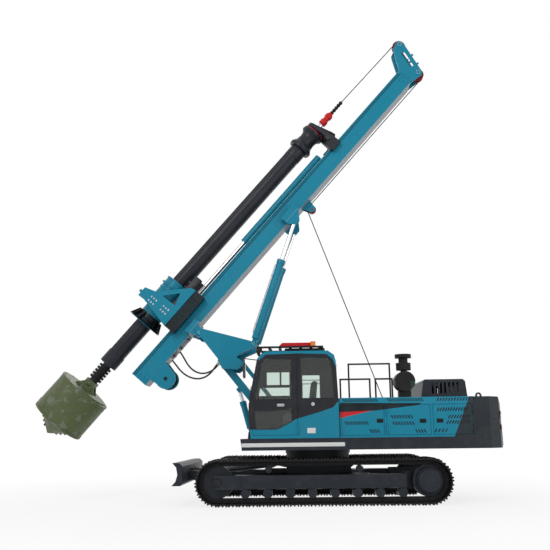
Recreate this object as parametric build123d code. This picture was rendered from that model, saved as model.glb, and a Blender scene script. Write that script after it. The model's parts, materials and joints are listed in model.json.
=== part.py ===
"""Rotary piling rig on crawler tracks: a jointed assembly, millimetres, +X to the front, +Z up.

Every piece is modelled about the slew axis on the ground plane; the finished assembly is then
moved as a whole so that its origin lies under the middle of its overall box.
"""
from build123d import *
import os
from math import atan2, cos, degrees, hypot, pi, radians, sin

# ---------------------------------------------------------------- driving dimensions
SEAT = 0.3                  # gap between a piece and the seat that carries it
FIT = 0.5                   # radial clearance of a pin or rod in its hole
SLIDE = 0.7                 # clearance of a runner on its rail
RUN = 8.0                   # clearance between pieces that move past each other

# crawler
IDLER_X = 1942.0
SPROCKET_X = -2053.0
CRAWLER_HEIGHT = 870.0
GAUGE = 2400.0              # between the middles of the two tracks
SHOE_WIDTH = 600.0
SHOE_THICK = 24.0
SHOE_COUNT = 54
GROUSER = 26.0
CHAIN_WIDTH = 190.0
CHAIN_DEPTH = 88.0
ROLLER_COUNT = 8
ROLLER_R = 88.0
ROLLER_LENGTH = 300.0
CARRIER_R = 66.0
FRAME_WIDTH = 330.0         # side beam of a track frame
FRAME_LOW = 262.0
FRAME_TOP = 560.0
CARBODY_TOP = 840.0
CARBODY_HALF = 640.0

# slewing upper structure
DECK_LOW = 1020.0
DECK_TOP = 1240.0
DECK_FRONT = 1510.0
DECK_REAR = -2960.0
HALF_WIDTH = 1450.0
SLEW_R = 670.0
RACE_TOP = 938.0            # joint between the two races of the slewing ring
SLEW_BORE = 420.0

# cab
CAB_OUT = HALF_WIDTH + 10   # outer face of the cab, from the middle plane
CAB_IN = 540.0              # face of the cab that looks at the boom
CAB_WALL = 42.0
CAB_BASE = DECK_TOP + SEAT
CAB_ROOF = 2905.0
CAB_REAR = -385.0
DOOR_HINGE_X = 400.0        # middle pillar
GLASS = 8.0

# pin hinges of doors and lids
HINGE_R = 15.0
HINGE_PIN_R = 8.0
HINGE_OFF = 15.0            # pin's axis, outside the panel's face
HINGE_REACH = 60.0          # width of the door's leaf, then the frame's
FRAME_REACH = 22.0
HINGE_LEAF = 7.0

# boom parallelogram, from the foot pins on the deck
BOOM_FOOT_X = 850.0
BOOM_FOOT_Z = 1430.0
BOOM_LENGTH = 1821.0
BOOM_ANGLE = 51.24          # above the horizontal, as parked
LINK_DX = -390.0            # support rod pins, from the boom pins
LINK_DZ = 20.0
PIN_R = 38.0

# mast
MAST_LEAN = 41.05           # back from the vertical, as parked
MAST_WIDTH = 550.0
MAST_FRONT = 540.0          # rail face, in front of the mast pin
MAST_BACK = 160.0
MAST_LOW = -1560.0          # lower end, along the mast from its pin
MAST_TOP = 7480.0
RAIL_DEPTH = 55.0
RAIL_WIDTH = 70.0
KELLY_X = 1130.0            # kelly axis, in front of the mast pin
CYL_Y = 395.0               # mast cylinders, from the middle plane
CYL_PIN_X = 40.0            # rod pins on the mast, from the mast pin
CYL_PIN_Z = 3200.0
CYL_EYE_WIDTH = 84.0
MAST_BARREL = 1900.0        # length of a mast cylinder's barrel
MAST_ROD_LOW = 985.0        # lower end of its rod inside the barrel, as parked
EYE_GAP = 48.0              # from the middle of a rod eye to its bracket's cheek

# blade, its arms and cylinders
BLADE_PIN_X = 1060.0
BLADE_PIN_Z = 500.0
BLADE_REAR = 2600.0
BLADE_LOW = 390.0
BLADE_HEIGHT = 420.0
BLADE_ARM_Y = 480.0
BLADE_ARM_WIDTH = 100.0
BLADE_EYE_X = 2420.0        # rod pins
BLADE_EYE_Z = 560.0
BLADE_CYL_X = 760.0         # barrel pins
BLADE_CYL_Z = 745.0
BLADE_CYL_Y = 250.0
BLADE_CYL_EYE = 70.0
BLADE_CYL_PIN = 26.0
BLADE_BARREL = 1250.0

# kelly and bucket, along the mast from its pin
KELLY_R = 178.0
KELLY_LOW = -1780.0
KELLY_TOP = 5140.0
SWIVEL_R = 112.0
MIDDLE_R = 138.0
CORE_R = 96.0
BUCKET_R = 590.0
BUCKET_TOP = -2490.0
BUCKET_HEIGHT = 810.0
BUCKET_WALL = 20.0
CONE_DEPTH = 330.0
STUB = 130.0                # square end of the core, in the bucket's socket
SOCKET_HEIGHT = 250.0

# ---------------------------------------------------------------- small helpers
NODES = {}


def keep(name, *solids):
    """Register one node: a single solid, or several that do not touch."""
    NODES[name] = [solid for item in solids for solid in item.solids()]


def block(x0, x1, y0, y1, z0, z1):
    return Pos((x0 + x1) / 2, (y0 + y1) / 2, (z0 + z1) / 2) * Box(x1 - x0, y1 - y0, z1 - z0)


def slab(points, y0, y1):
    """A plate: an outline in the X-Z plane, from y0 to y1."""
    outline = Wire.make_polygon([Vector(x, y0, z) for x, z in points], close=True)
    return extrude(Face(outline), amount=y1 - y0, dir=(0, 1, 0))


def both_sides(near, far):
    """The same span of Y on the left and on the right, from its distances off the middle plane."""
    return (near, far), (-far, -near)


def rod_y(x, z, r, y0, y1):
    return Pos(x, (y0 + y1) / 2, z) * Rot(90, 0, 0) * Cylinder(r, y1 - y0)


def rod_z(x, y, r, z0, z1):
    return Pos(x, y, (z0 + z1) / 2) * Cylinder(r, z1 - z0)


def tube_z(x, y, r, bore, z0, z1):
    return rod_z(x, y, r, z0, z1) - rod_z(x, y, bore, z0 - 1, z1 + 1)


def bar(p, q, r):
    """A round bar from point p to point q."""
    p, q = Vector(*p), Vector(*q)
    return Plane(origin=p, z_dir=q - p) * Cylinder(
        r, (q - p).length, align=(Align.CENTER, Align.CENTER, Align.MIN))


def reach(x0, z0, x1, z1):
    return hypot(x1 - x0, z1 - z0)


def raised(x0, z0, x1, z1):
    """Angle above the horizontal of the line from the first point to the second."""
    return degrees(atan2(z1 - z0, x1 - x0))


def along(x, z, angle):
    """Place a piece modelled upright from a pin: turned down to an angle above the horizontal."""
    return Pos(x, 0, z) * Rot(0, 90 - angle, 0)


def door_hinge(x, face, z, side, toward):
    """Pin hinge on a vertical panel: (leaf and pin on the door, leaf with its eyes on the frame).

    The pin stands HINGE_OFF outside the face; the door lies on the side of it that toward gives.
    """
    y = face + side * HINGE_OFF
    leaves = []
    for spans, way, reach_x in ((((-45, 45),), toward, HINGE_REACH), (((-80, -46), (46, 80)), -toward, FRAME_REACH)):
        leaf = None
        for low, high in spans:
            x0, x1 = sorted((x, x + way * reach_x))
            y0, y1 = sorted((face, face + side * HINGE_LEAF))
            piece = block(x0, x1, y0, y1, z + low, z + high) + rod_z(x, y, HINGE_R, z + low, z + high)
            leaf = piece if leaf is None else leaf + piece
        leaves.append(leaf)
    on_door, on_frame = leaves
    on_door += rod_z(x, y, HINGE_PIN_R, z - 80, z + 80)
    on_frame -= rod_z(x, y, HINGE_PIN_R + FIT, z - 90, z + 90)
    return on_door, on_frame


# ---------------------------------------------------------------- pin points at rest
BOOM_HEAD_X = BOOM_FOOT_X + BOOM_LENGTH * cos(radians(BOOM_ANGLE))
BOOM_HEAD_Z = BOOM_FOOT_Z + BOOM_LENGTH * sin(radians(BOOM_ANGLE))
# pins of the luffing frame, from the boom head pin
MAST_PIN_DX = 471.0
MAST_PIN_DZ = 587.0
CYL_FOOT_DX = -688.0
CYL_FOOT_DZ = 340.0
MAST_PIN_X = BOOM_HEAD_X + MAST_PIN_DX
MAST_PIN_Z = BOOM_HEAD_Z + MAST_PIN_DZ
CYL_FOOT_X = BOOM_HEAD_X + CYL_FOOT_DX
CYL_FOOT_Z = BOOM_HEAD_Z + CYL_FOOT_DZ
ON_MAST = Pos(MAST_PIN_X, 0, MAST_PIN_Z) * Rot(0, -MAST_LEAN, 0)


def mast_point(x, z):
    """A point given in front of and along the mast from its pin, in the machine's frame."""
    a = radians(MAST_LEAN)
    return (MAST_PIN_X + x * cos(a) - z * sin(a), MAST_PIN_Z + x * sin(a) + z * cos(a))


# ---------------------------------------------------------------- crawler
END_R = CRAWLER_HEIGHT / 2              # to the tips of the grousers
SHOE_TIP = END_R - GROUSER
CHAIN_OUT = SHOE_TIP - SHOE_THICK
CHAIN_IN = CHAIN_OUT - CHAIN_DEPTH
AXLE_Z = END_R
RUN_LENGTH = IDLER_X - SPROCKET_X


def loop_point(distance, radius):
    """Point of the track's outline at a distance along its pitch line, at a radius from the axles."""
    arc = pi * CHAIN_OUT
    lap = distance % (2 * RUN_LENGTH + 2 * arc)
    if lap < RUN_LENGTH:
        return (SPROCKET_X + lap, AXLE_Z + radius)
    lap -= RUN_LENGTH
    if lap < arc:
        a = lap / CHAIN_OUT
        return (IDLER_X + radius * sin(a), AXLE_Z + radius * cos(a))
    lap -= arc
    if lap < RUN_LENGTH:
        return (IDLER_X - lap, AXLE_Z - radius)
    a = (lap - RUN_LENGTH) / CHAIN_OUT
    return (SPROCKET_X - radius * sin(a), AXLE_Z - radius * cos(a))


def stadium(radius, y0, y1):
    body = block(SPROCKET_X, IDLER_X, y0, y1, AXLE_Z - radius, AXLE_Z + radius)
    for x in (SPROCKET_X, IDLER_X):
        body += rod_y(x, AXLE_Z, radius, y0, y1)
    return body


def track(mid):
    """Endless track: chain ring inside, shoes with three grouser bars each outside."""
    pitch = (2 * RUN_LENGTH + 2 * pi * CHAIN_OUT) / SHOE_COUNT
    # share of the pitch, radius
    shoe = [(0.00, CHAIN_OUT + 6), (0.03, SHOE_TIP), (0.10, END_R), (0.20, END_R), (0.25, SHOE_TIP),
            (0.43, SHOE_TIP), (0.48, END_R), (0.56, END_R), (0.61, SHOE_TIP), (0.80, SHOE_TIP),
            (0.85, END_R), (0.94, END_R), (0.97, SHOE_TIP)]
    points = [loop_point((i + share) * pitch, r) for i in range(SHOE_COUNT) for share, r in shoe]
    half = SHOE_WIDTH / 2
    shoes = slab(points, mid - half, mid + half) - stadium(CHAIN_OUT, mid - half - 1, mid + half + 1)
    half = CHAIN_WIDTH / 2
    chain = stadium(CHAIN_OUT + 3, mid - half, mid + half)
    return shoes + (chain - stadium(CHAIN_IN, mid - half - 1, mid + half + 1))


def crawler():
    mids = (GAUGE / 2, -GAUGE / 2)
    for name, mid in zip(("left", "right"), mids):
        keep("track_" + name, track(mid))
    sprockets, idlers, rollers, frames = [], [], [], []
    first = IDLER_X - 520.0
    step = (first - (SPROCKET_X + 500.0)) / (ROLLER_COUNT - 1)
    for mid in mids:
        side = 1 if mid > 0 else -1
        drive = rod_y(SPROCKET_X, AXLE_Z, CHAIN_IN - SEAT, mid - 45, mid + 45)
        drive += rod_y(SPROCKET_X, AXLE_Z, 235, mid - 140, mid + 140)
        drive += rod_y(SPROCKET_X, AXLE_Z, 205, mid + side * 60 - 140, mid + side * 60 + 140)
        sprockets.append(drive)
        wheel = rod_y(IDLER_X, AXLE_Z, CHAIN_IN - SEAT, mid - 50, mid + 50)
        wheel += rod_y(IDLER_X, AXLE_Z, 90, mid - 150, mid + 150)
        idlers.append(wheel)
        for i in range(ROLLER_COUNT):
            x = first - i * step
            low = AXLE_Z - CHAIN_IN + SEAT + ROLLER_R
            roller = rod_y(x, low, ROLLER_R, mid - ROLLER_LENGTH / 2, mid + ROLLER_LENGTH / 2)
            rollers.append(roller)
        for x in (980.0, -760.0):
            high = AXLE_Z + CHAIN_IN - SEAT - CARRIER_R
            roller = rod_y(x, high, CARRIER_R, mid - 90, mid + 90)
            rollers.append(roller)
        low = AXLE_Z - CHAIN_IN + 2 * SEAT + 2 * ROLLER_R
        beam = block(SPROCKET_X + 430, IDLER_X - 330, mid - FRAME_WIDTH / 2, mid + FRAME_WIDTH / 2,
                     low, FRAME_TOP)
        for x in (980.0, -760.0):
            beam -= rod_y(x, AXLE_Z + CHAIN_IN - SEAT - CARRIER_R, CARRIER_R + SEAT, mid - 90 - SEAT,
                          mid + 90 + SEAT)
        for y in (mid - 185, mid + 155):
            beam += block(IDLER_X - 420, IDLER_X + 60, y, y + 30, AXLE_Z - 130, AXLE_Z + 130)
            beam -= rod_y(IDLER_X, AXLE_Z, 90 + SEAT, y - 1, y + 31)
        for y in (mid - side * 185,):
            beam += block(SPROCKET_X - 150, SPROCKET_X + 480, y - 20, y + 20, AXLE_Z - 160, AXLE_Z + 160)
        frames.append(beam)
    keep("sprockets", *sprockets)
    keep("idlers", *idlers)
    keep("rollers", *rollers)
    keep("track_frames", *frames)

    body = block(-CARBODY_HALF, CARBODY_HALF, -CARBODY_HALF, CARBODY_HALF, 380, CARBODY_TOP)
    inner = GAUGE / 2 - FRAME_WIDTH / 2
    for sx in (1, -1):
        for sy in (1, -1):
            leg = [(sx * 300, sy * 500), (sx * 640, sy * 300), (sx * 1150, sy * inner), (sx * 700, sy * inner)]
            outline = Wire.make_polygon([Vector(x, y, 300) for x, y in leg], close=True)
            body += extrude(Face(outline), amount=260, dir=(0, 0, 1))
    body += tube_z(0, 0, SLEW_R - 20, SLEW_BORE, CARBODY_TOP - 20, RACE_TOP)
    for y0, y1 in both_sides(BLADE_ARM_Y - BLADE_ARM_WIDTH / 2 - 10 - 80, BLADE_ARM_Y - BLADE_ARM_WIDTH / 2 - 10):
        body += block(CARBODY_HALF - 10, BLADE_PIN_X + 60, y0, y1, 380, 620)
    for y0, y1 in both_sides(BLADE_ARM_Y - BLADE_ARM_WIDTH / 2 - 20, BLADE_ARM_Y + BLADE_ARM_WIDTH / 2 + 20):
        body += rod_y(BLADE_PIN_X, BLADE_PIN_Z, PIN_R, y0, y1)
    for middle in (BLADE_CYL_Y, -BLADE_CYL_Y):
        for edge in (-BLADE_CYL_EYE / 2 - 6 - 24, BLADE_CYL_EYE / 2 + 6):
            body += slab([(CARBODY_HALF - 10, BLADE_CYL_Z - 90), (BLADE_CYL_X + 50, BLADE_CYL_Z - 50),
                          (BLADE_CYL_X + 50, BLADE_CYL_Z + 50), (CARBODY_HALF - 10, BLADE_CYL_Z + 90)],
                         middle + edge, middle + edge + 24)
        body += rod_y(BLADE_CYL_X, BLADE_CYL_Z, BLADE_CYL_PIN, middle - BLADE_CYL_EYE / 2 - 25,
                      middle + BLADE_CYL_EYE / 2 + 25)
    keep("car_body", body)


def blade():
    top = BLADE_LOW + BLADE_HEIGHT
    profile = [(BLADE_REAR, BLADE_LOW + 40), (BLADE_REAR + 40, BLADE_LOW), (BLADE_REAR + 205, BLADE_LOW),
               (BLADE_REAR + 130, BLADE_LOW + 80), (BLADE_REAR + 95, BLADE_LOW + 200),
               (BLADE_REAR + 120, top - 80), (BLADE_REAR + 195, top), (BLADE_REAR + 60, top),
               (BLADE_REAR, top - 60)]
    width = GAUGE / 2 + SHOE_WIDTH / 2
    piece = slab(profile, -width, width)
    for sy in (1, -1):
        arm = [(BLADE_PIN_X, BLADE_PIN_Z - 80), (BLADE_REAR + 20, BLADE_LOW + 60),
               (BLADE_REAR + 20, BLADE_LOW + 240), (BLADE_PIN_X, BLADE_PIN_Z + 80)]
        y0, y1 = sy * BLADE_ARM_Y - BLADE_ARM_WIDTH / 2, sy * BLADE_ARM_Y + BLADE_ARM_WIDTH / 2
        arm = slab(arm, y0, y1) + rod_y(BLADE_PIN_X, BLADE_PIN_Z, 80, y0, y1)
        piece += arm - rod_y(BLADE_PIN_X, BLADE_PIN_Z, PIN_R + FIT, y0 - 1, y1 + 1)
        for edge in (-BLADE_CYL_EYE / 2 - 6 - 24, BLADE_CYL_EYE / 2 + 6):
            y = sy * BLADE_CYL_Y + edge
            piece += slab([(BLADE_EYE_X - 55, BLADE_EYE_Z - 55), (BLADE_REAR + 20, BLADE_EYE_Z - 110),
                           (BLADE_REAR + 20, BLADE_EYE_Z + 110), (BLADE_EYE_X - 55, BLADE_EYE_Z + 55)],
                          y, y + 24)
    keep("blade", piece)


# ---------------------------------------------------------------- deck
BOOM_ARM_Y = 225.0          # middle of a boom arm
BOOM_ARM_WIDTH = 110.0
BOOM_DEPTH = 150.0
LUG = 30.0                  # thickness of a pin lug
LINK_R = 42.0
BOOM_CYL_X = 1380.0
BOOM_CYL_Z = 1345.0
BOOM_CYL_SHARE = 0.62       # place of the rod eye along the boom
BOOM_CYL_EYE = 95.0         # rod eye, in front of the boom's middle line
BOOM_CYL_Y = 100.0
BOOM_CYL_R = 58.0
BOOM_ROD_R = 32.0
BOOM_BARREL = 690.0


def lug(x, z, radius, base_low, y0, y1, base=1.4):
    """Upright pin lug on a floor, with a round top about its pin."""
    foot = slab([(x - radius * base, base_low), (x + radius * base, base_low), (x + radius, z),
                 (x - radius, z)], y0, y1)
    return foot + rod_y(x, z, radius, y0, y1)


def deck():
    skirt = 26.0
    outline = [(DECK_FRONT, DECK_TOP), (DECK_FRONT - 30, DECK_LOW), (DECK_REAR, DECK_LOW),
               (DECK_REAR, DECK_TOP)]
    body = slab(outline, -HALF_WIDTH, HALF_WIDTH)
    for y0, y1 in ((-HALF_WIDTH + skirt, -420), (420, HALF_WIDTH - skirt)):
        for x0, x1 in ((DECK_REAR + 60, -1500), (-1440, -20), (40, DECK_FRONT - 70)):
            body -= block(x0, x1, y0, y1, DECK_LOW - 1, DECK_TOP - 20)
    body -= block(DECK_REAR + 60, -1950, -380, 380, DECK_LOW + 30, DECK_TOP + 1)
    body -= block(900, DECK_FRONT + 1, -300, 300, DECK_LOW + 60, DECK_TOP + 1)
    body += tube_z(0, 0, SLEW_R, SLEW_BORE, RACE_TOP + SEAT, DECK_LOW + 5)
    foot_x, foot_z = BOOM_FOOT_X, BOOM_FOOT_Z
    link_x, link_z = foot_x + LINK_DX, foot_z + LINK_DZ
    half = BOOM_ARM_WIDTH / 2 + RUN / 2
    for sy in (1, -1):
        for edge in (half, -half - LUG):
            y0, y1 = sorted((sy * (BOOM_ARM_Y + edge), sy * (BOOM_ARM_Y + edge + LUG)))
            piece = lug(foot_x, foot_z, 85, DECK_TOP - 20, y0, y1)
            piece += lug(link_x, link_z, 75, DECK_TOP - 20, y0, y1)
            body += piece
        y0, y1 = sorted((sy * (BOOM_ARM_Y - half - LUG), sy * (BOOM_ARM_Y + half + LUG)))
        body += rod_y(foot_x, foot_z, PIN_R, y0, y1)
        body += rod_y(link_x, link_z, PIN_R, y0, y1)
    for sy in (1, -1):
        for y in (BOOM_CYL_Y - 51, BOOM_CYL_Y + 33):
            y0, y1 = sorted((sy * y, sy * (y + 18)))
            body += lug(BOOM_CYL_X, BOOM_CYL_Z, 60, DECK_LOW + 50, y0, y1)
        y0, y1 = sorted((sy * (BOOM_CYL_Y - 45), sy * (BOOM_CYL_Y + 50)))
        body += rod_y(BOOM_CYL_X, BOOM_CYL_Z, 26, y0, y1)
    for y0, y1 in both_sides(WINCH_HALF + RUN, WINCH_HALF + RUN + 60):
        body += lug(WINCH_X, WINCH_Z, 300, DECK_TOP - 20, y0, y1, 1.1)
    body -= rod_y(WINCH_X, WINCH_Z, WINCH_PIN + FIT, -400, 400)
    keep("deck_frame", body)


# ---------------------------------------------------------------- cab
CAB_SIDE = [(1310, CAB_BASE), (1350, 1640), (1330, 2010), (1180, 2760), (1085, 2870), (980, CAB_ROOF),
            (-200, CAB_ROOF), (-320, 2820), (-352, 2700), (CAB_REAR, 1900), (CAB_REAR, CAB_BASE)]
DOOR_SIDE = [(1262, 1300), (1300, 1640), (1283, 1990), (1142, 2720), (1060, 2830), (405, 2830),
             (405, 1300)]
DOOR_GAP = 6.0
DOOR_HINGES = (1400.0, 1850.0)
DOOR_UP_WINDOW = [(1225, 1980), (1098, 2690), (1050, 2760), (520, 2760), (520, 1980)]
DOOR_LOW_WINDOW = [(1205, 1420), (1235, 1600), (1232, 1760), (880, 1760), (520, 1800), (520, 1560),
                   (800, 1420)]
REAR_SIDE_WINDOW = [(330, 1990), (330, 2780), (-190, 2780), (-262, 2680), (-300, 1990)]
SCREEN_LOW = 1420.0
SCREEN_HIGH = 2700.0


def inner_slab(points, gap, y0, y1):
    face = Face(Wire.make_polygon([Vector(x, z, 0) for x, z in points], close=True))
    face = offset(face, amount=-gap, kind=Kind.INTERSECTION)
    body = extrude(face, amount=y1 - y0, dir=(0, 0, 1))
    return Pos(0, y1, 0) * Rot(90, 0, 0) * body


def cab():
    wall = CAB_WALL
    shell = slab(CAB_SIDE, CAB_IN, CAB_OUT) - inner_slab(CAB_SIDE, wall, CAB_IN + wall, CAB_OUT - wall)
    shell -= inner_slab(DOOR_SIDE, 0, CAB_OUT - wall - 1, CAB_OUT + 1)
    shell -= slab(REAR_SIDE_WINDOW, CAB_OUT - wall - 1, CAB_OUT + 1)
    shell -= slab(REAR_SIDE_WINDOW, CAB_IN - 1, CAB_IN + wall + 1)
    shell -= slab(DOOR_UP_WINDOW, CAB_IN - 1, CAB_IN + wall + 1)
    shell -= block(1000, 1500, CAB_IN + 70, CAB_OUT - 70, SCREEN_LOW, SCREEN_HIGH)
    shell -= block(CAB_REAR - 60, CAB_REAR + 90, CAB_IN + 90, CAB_OUT - 90, 2000, 2640)

    door = inner_slab(DOOR_SIDE, DOOR_GAP, CAB_OUT - wall, CAB_OUT)
    door -= slab(DOOR_UP_WINDOW, CAB_OUT - wall - 1, CAB_OUT + 1)
    door -= slab(DOOR_LOW_WINDOW, CAB_OUT - wall - 1, CAB_OUT + 1)
    for z in DOOR_HINGES:
        on_door, on_frame = door_hinge(DOOR_HINGE_X, CAB_OUT, z, 1, 1)
        door += on_door
        shell += on_frame
    keep("cab_shell", shell)
    keep("cab_door", door)
    mid = CAB_OUT - wall / 2
    keep("cab_door_glass", inner_slab(DOOR_UP_WINDOW, SEAT, mid - GLASS / 2, mid + GLASS / 2),
         inner_slab(DOOR_LOW_WINDOW, SEAT, mid - GLASS / 2, mid + GLASS / 2))
    far = CAB_IN + wall / 2
    screen = [(1338, SCREEN_LOW + SEAT), (1346, 1640), (1326, 2006), (1188, SCREEN_HIGH - SEAT),
              (1180, SCREEN_HIGH - SEAT), (1318, 2006), (1338, 1640), (1330, SCREEN_LOW + SEAT)]
    keep("cab_glass", inner_slab(REAR_SIDE_WINDOW, SEAT, mid - GLASS / 2, mid + GLASS / 2),
         inner_slab(REAR_SIDE_WINDOW, SEAT, far - GLASS / 2, far + GLASS / 2),
         inner_slab(DOOR_UP_WINDOW, SEAT, far - GLASS / 2, far + GLASS / 2),
         slab(screen, CAB_IN + 70 + SEAT, CAB_OUT - 70 - SEAT),
         block(CAB_REAR + 15, CAB_REAR + 15 + GLASS, CAB_IN + 90 + SEAT, CAB_OUT - 90 - SEAT, 2000 + SEAT,
               2640 - SEAT))

    floor = CAB_BASE + wall + SEAT
    middle = (CAB_IN + CAB_OUT) / 2
    seat = block(150, 560, middle - 130, middle + 130, floor, floor + 330)
    seat += block(80, 620, middle - 240, middle + 240, floor + 300, floor + 450)
    seat += slab([(80, floor + 420), (210, floor + 420), (110, floor + 1100), (0, floor + 1100)],
                 middle - 230, middle + 230)
    console = block(250, 700, middle + 270, middle + 370, floor, floor + 560)
    other = block(250, 700, middle - 370, middle - 270, floor, floor + 560)
    keep("cab_interior", seat, console, other)

    guard = slab([(1180, 3010), (1180, 2975), (-120, 2975), (-120, 3010)], CAB_IN + 60, CAB_OUT - 60)
    for i in range(6):
        x = -60 + i * 205
        guard -= block(x, x + 150, CAB_IN + 110, CAB_OUT - 110, 2900, 3100)
    for x in (1080, -60):
        for y in (CAB_IN + 75, CAB_OUT - 115):
            guard += block(x, x + 40, y, y + 40, CAB_ROOF, 2980)
    keep("roof_guard", guard)
    keep("beacon", rod_z(80, CAB_OUT - 90, 50, 3010 + SEAT, 3095))
    keep("sun_visor", slab([(760, 3010 + SEAT), (120, 3010 + SEAT), (120, 3085), (690, 3085)],
                           CAB_OUT - 230, CAB_OUT - 150))
    post_x, post_y = 1425, CAB_OUT + 60
    mirror_post = rod_z(post_x, post_y, 13, 2380, 2790)
    mirror_post += bar((1168, CAB_OUT - 60, 2740), (post_x, post_y, 2765), 9)
    mirror_post -= slab(CAB_SIDE, CAB_IN, CAB_OUT + SEAT)
    mirror_post += block(post_x - 22, post_x + 22, post_y - 75, post_y + 75, 2400, 2660)
    keep("mirror", mirror_post)


# ---------------------------------------------------------------- housings behind the cab
HOUSE_TOP = 1990.0
CHAMFER = 110.0
HOUSE_INNER = 1000.0
HOUSE_FRONT = -400.0
SEAMS = [-400.0, -1265.0, -2145.0, -2960.0]
PANEL = 26.0
POST = 45.0
DOOR_TOP = HOUSE_TOP - CHAMFER - 30
DOOR_LOW = DECK_TOP + 40
SERVICE_HINGES = (1380.0, 1740.0)
CLEANER_X = -1690.0
CLEANER_Y = HALF_WIDTH - 270
CLEANER_Z = 2300.0
CLEANER_R = 195.0
RAIL_R = 17.0
EYE_R = 28.0                # lifting eyes on the counterweight
LIFT_X = -3240.0
LIFT_Z = 2040.0


def housing(side, front):
    """Long box along one side of the deck, open where its service doors close it."""
    profile = [(HOUSE_INNER, DECK_TOP), (HALF_WIDTH, DECK_TOP), (HALF_WIDTH, HOUSE_TOP - CHAMFER),
               (HALF_WIDTH - 35, HOUSE_TOP), (HOUSE_INNER, HOUSE_TOP)]
    outline = Wire.make_polygon([Vector(DECK_REAR, side * y, z) for y, z in profile], close=True)
    body = extrude(Face(outline), amount=front - DECK_REAR, dir=(1, 0, 0))
    y0, y1 = sorted((side * (HOUSE_INNER + PANEL), side * (HALF_WIDTH - PANEL)))
    body -= block(DECK_REAR + PANEL, front - PANEL, y0, y1, DECK_TOP + PANEL, HOUSE_TOP - CHAMFER)
    return body


def service_pin(seams, i):
    """Hinge axis of a service door: at its front edge, but at its rear edge on the last one."""
    if i == 2:
        return seams[i + 1] + POST / 2 + DOOR_GAP / 2
    return seams[i] - POST / 2 - DOOR_GAP / 2


def housings():
    left = Pos(0, 0, SEAT) * housing(1, HOUSE_FRONT)
    right = Pos(0, 0, SEAT) * housing(-1, 560.0)
    bodies = {"left": left, "right": right}
    for name, side, seams in (("left", 1, SEAMS), ("right", -1, SEAMS[:3])):
        for i in range(len(seams) - 1):
            x0, x1 = seams[i + 1] + POST / 2, seams[i] - POST / 2
            y0, y1 = sorted((side * (HALF_WIDTH - PANEL - 2), side * (HALF_WIDTH + 1)))
            bodies[name] -= block(x0, x1, y0, y1, DOOR_LOW, DOOR_TOP)
            y0, y1 = sorted((side * (HALF_WIDTH - PANEL), side * HALF_WIDTH))
            door = block(x0 + DOOR_GAP, x1 - DOOR_GAP, y0, y1, DOOR_LOW + DOOR_GAP, DOOR_TOP - DOOR_GAP)
            for z in SERVICE_HINGES:
                on_door, on_frame = door_hinge(service_pin(seams, i), side * HALF_WIDTH, z, side,
                                               1 if i == 2 else -1)
                door += on_door
                bodies[name] += on_frame
            keep("service_door_%s_%d" % (name, i + 1), door)

    # engine bay between the housings, with its lid
    bay = [(-1950, DECK_TOP + SEAT), (-1950, 1985), (DECK_REAR, 1985), (DECK_REAR, DECK_TOP + SEAT)]
    inner = HOUSE_INNER - SEAT
    body = slab(bay, -inner, inner)
    body -= block(DECK_REAR + PANEL, -1950 - PANEL, -inner + PANEL, inner - PANEL, DECK_TOP + 30, 2100)
    keep("housings", bodies["left"], bodies["right"], body)
    lid = [(-2040, 1990 + SEAT), (-2070, 2150), (-2095, 2320), (-2130, 2352), (-2880, 2352),
           (-2925, 2310), (-2955, 1990 + SEAT)]
    hood = slab(lid, -inner, inner) - inner_slab(lid, PANEL, -inner + PANEL, inner - PANEL)
    hood -= block(-2925, -2070, -inner + PANEL, inner - PANEL, 1900, 2050)
    for i in range(7):
        x = -2790 + i * 82
        for y in (inner - PANEL - 1, -inner - 1):
            hood -= block(x, x + 38, y, y + PANEL + 2, 2070, 2290)
    keep("engine_hood", hood)
    keep("engine_block", block(-2880, -2020, -450, 450, DECK_TOP + 30 + SEAT, 1930))

    rear = [(DECK_REAR - SEAT, DECK_LOW), (DECK_REAR - SEAT, 1985), (-3465, 1985), (-3580, 1860), (-3590, 1440), (-3625, 1300),
            (-3625, 1080), (-3560, DECK_LOW)]
    plan = Wire.make_polygon([Vector(x, y, DECK_LOW - 10) for x, y in (
        (-2960, -HALF_WIDTH), (-3250, -HALF_WIDTH), (-3480, -1250), (-3640, -800), (-3640, 800),
        (-3480, 1250), (-3250, HALF_WIDTH), (-2960, HALF_WIDTH))], close=True)
    weight = slab(rear, -HALF_WIDTH, HALF_WIDTH) & extrude(Face(plan), amount=1200, dir=(0, 0, 1))
    for sy in (1, -1):
        y0, y1 = sorted((sy * 685, sy * 715))
        eye = lug(LIFT_X, LIFT_Z, 60, 1975, y0, y1) - rod_y(LIFT_X, LIFT_Z, EYE_R, y0 - 1, y1 + 1)
        weight += eye
    keep("counterweight", weight)

    stack_y = CLEANER_Y + 20
    cleaner = rod_y(CLEANER_X, CLEANER_Z, CLEANER_R, CLEANER_Y - 190, CLEANER_Y + 190)
    cleaner += rod_z(CLEANER_X, stack_y, 60, CLEANER_Z, 2600) + rod_z(CLEANER_X, stack_y, 145, 2520, 2660)
    cleaner += rod_z(CLEANER_X, stack_y, 90, 2650, 2760) + rod_z(CLEANER_X, stack_y, 160, 2760, 2830)
    cleaner += block(CLEANER_X - 120, CLEANER_X + 120, CLEANER_Y - 90, CLEANER_Y + 90,
                     HOUSE_TOP + 2 * SEAT, CLEANER_Z - CLEANER_R + 30)
    keep("air_cleaner", cleaner)

    rails = []
    floor = HOUSE_TOP + 2 * SEAT
    # front, rear, distance from the middle plane, height of the top rail
    for x0, x1, y, top in ((-620, -1430, 1080, 2680), (-430, -1000, 1380, 2360), (-1110, -1430, 1380, 2360)):
        rail = bar((x0, y, floor), (x0, y, top), RAIL_R) + bar((x1, y, floor), (x1, y, top), RAIL_R)
        rail += bar((x0 + RAIL_R, y, top - RAIL_R + 2), (x1 - RAIL_R, y, top - RAIL_R + 2), RAIL_R)
        rails.append(rail)
    keep("handrails", *rails)


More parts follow.
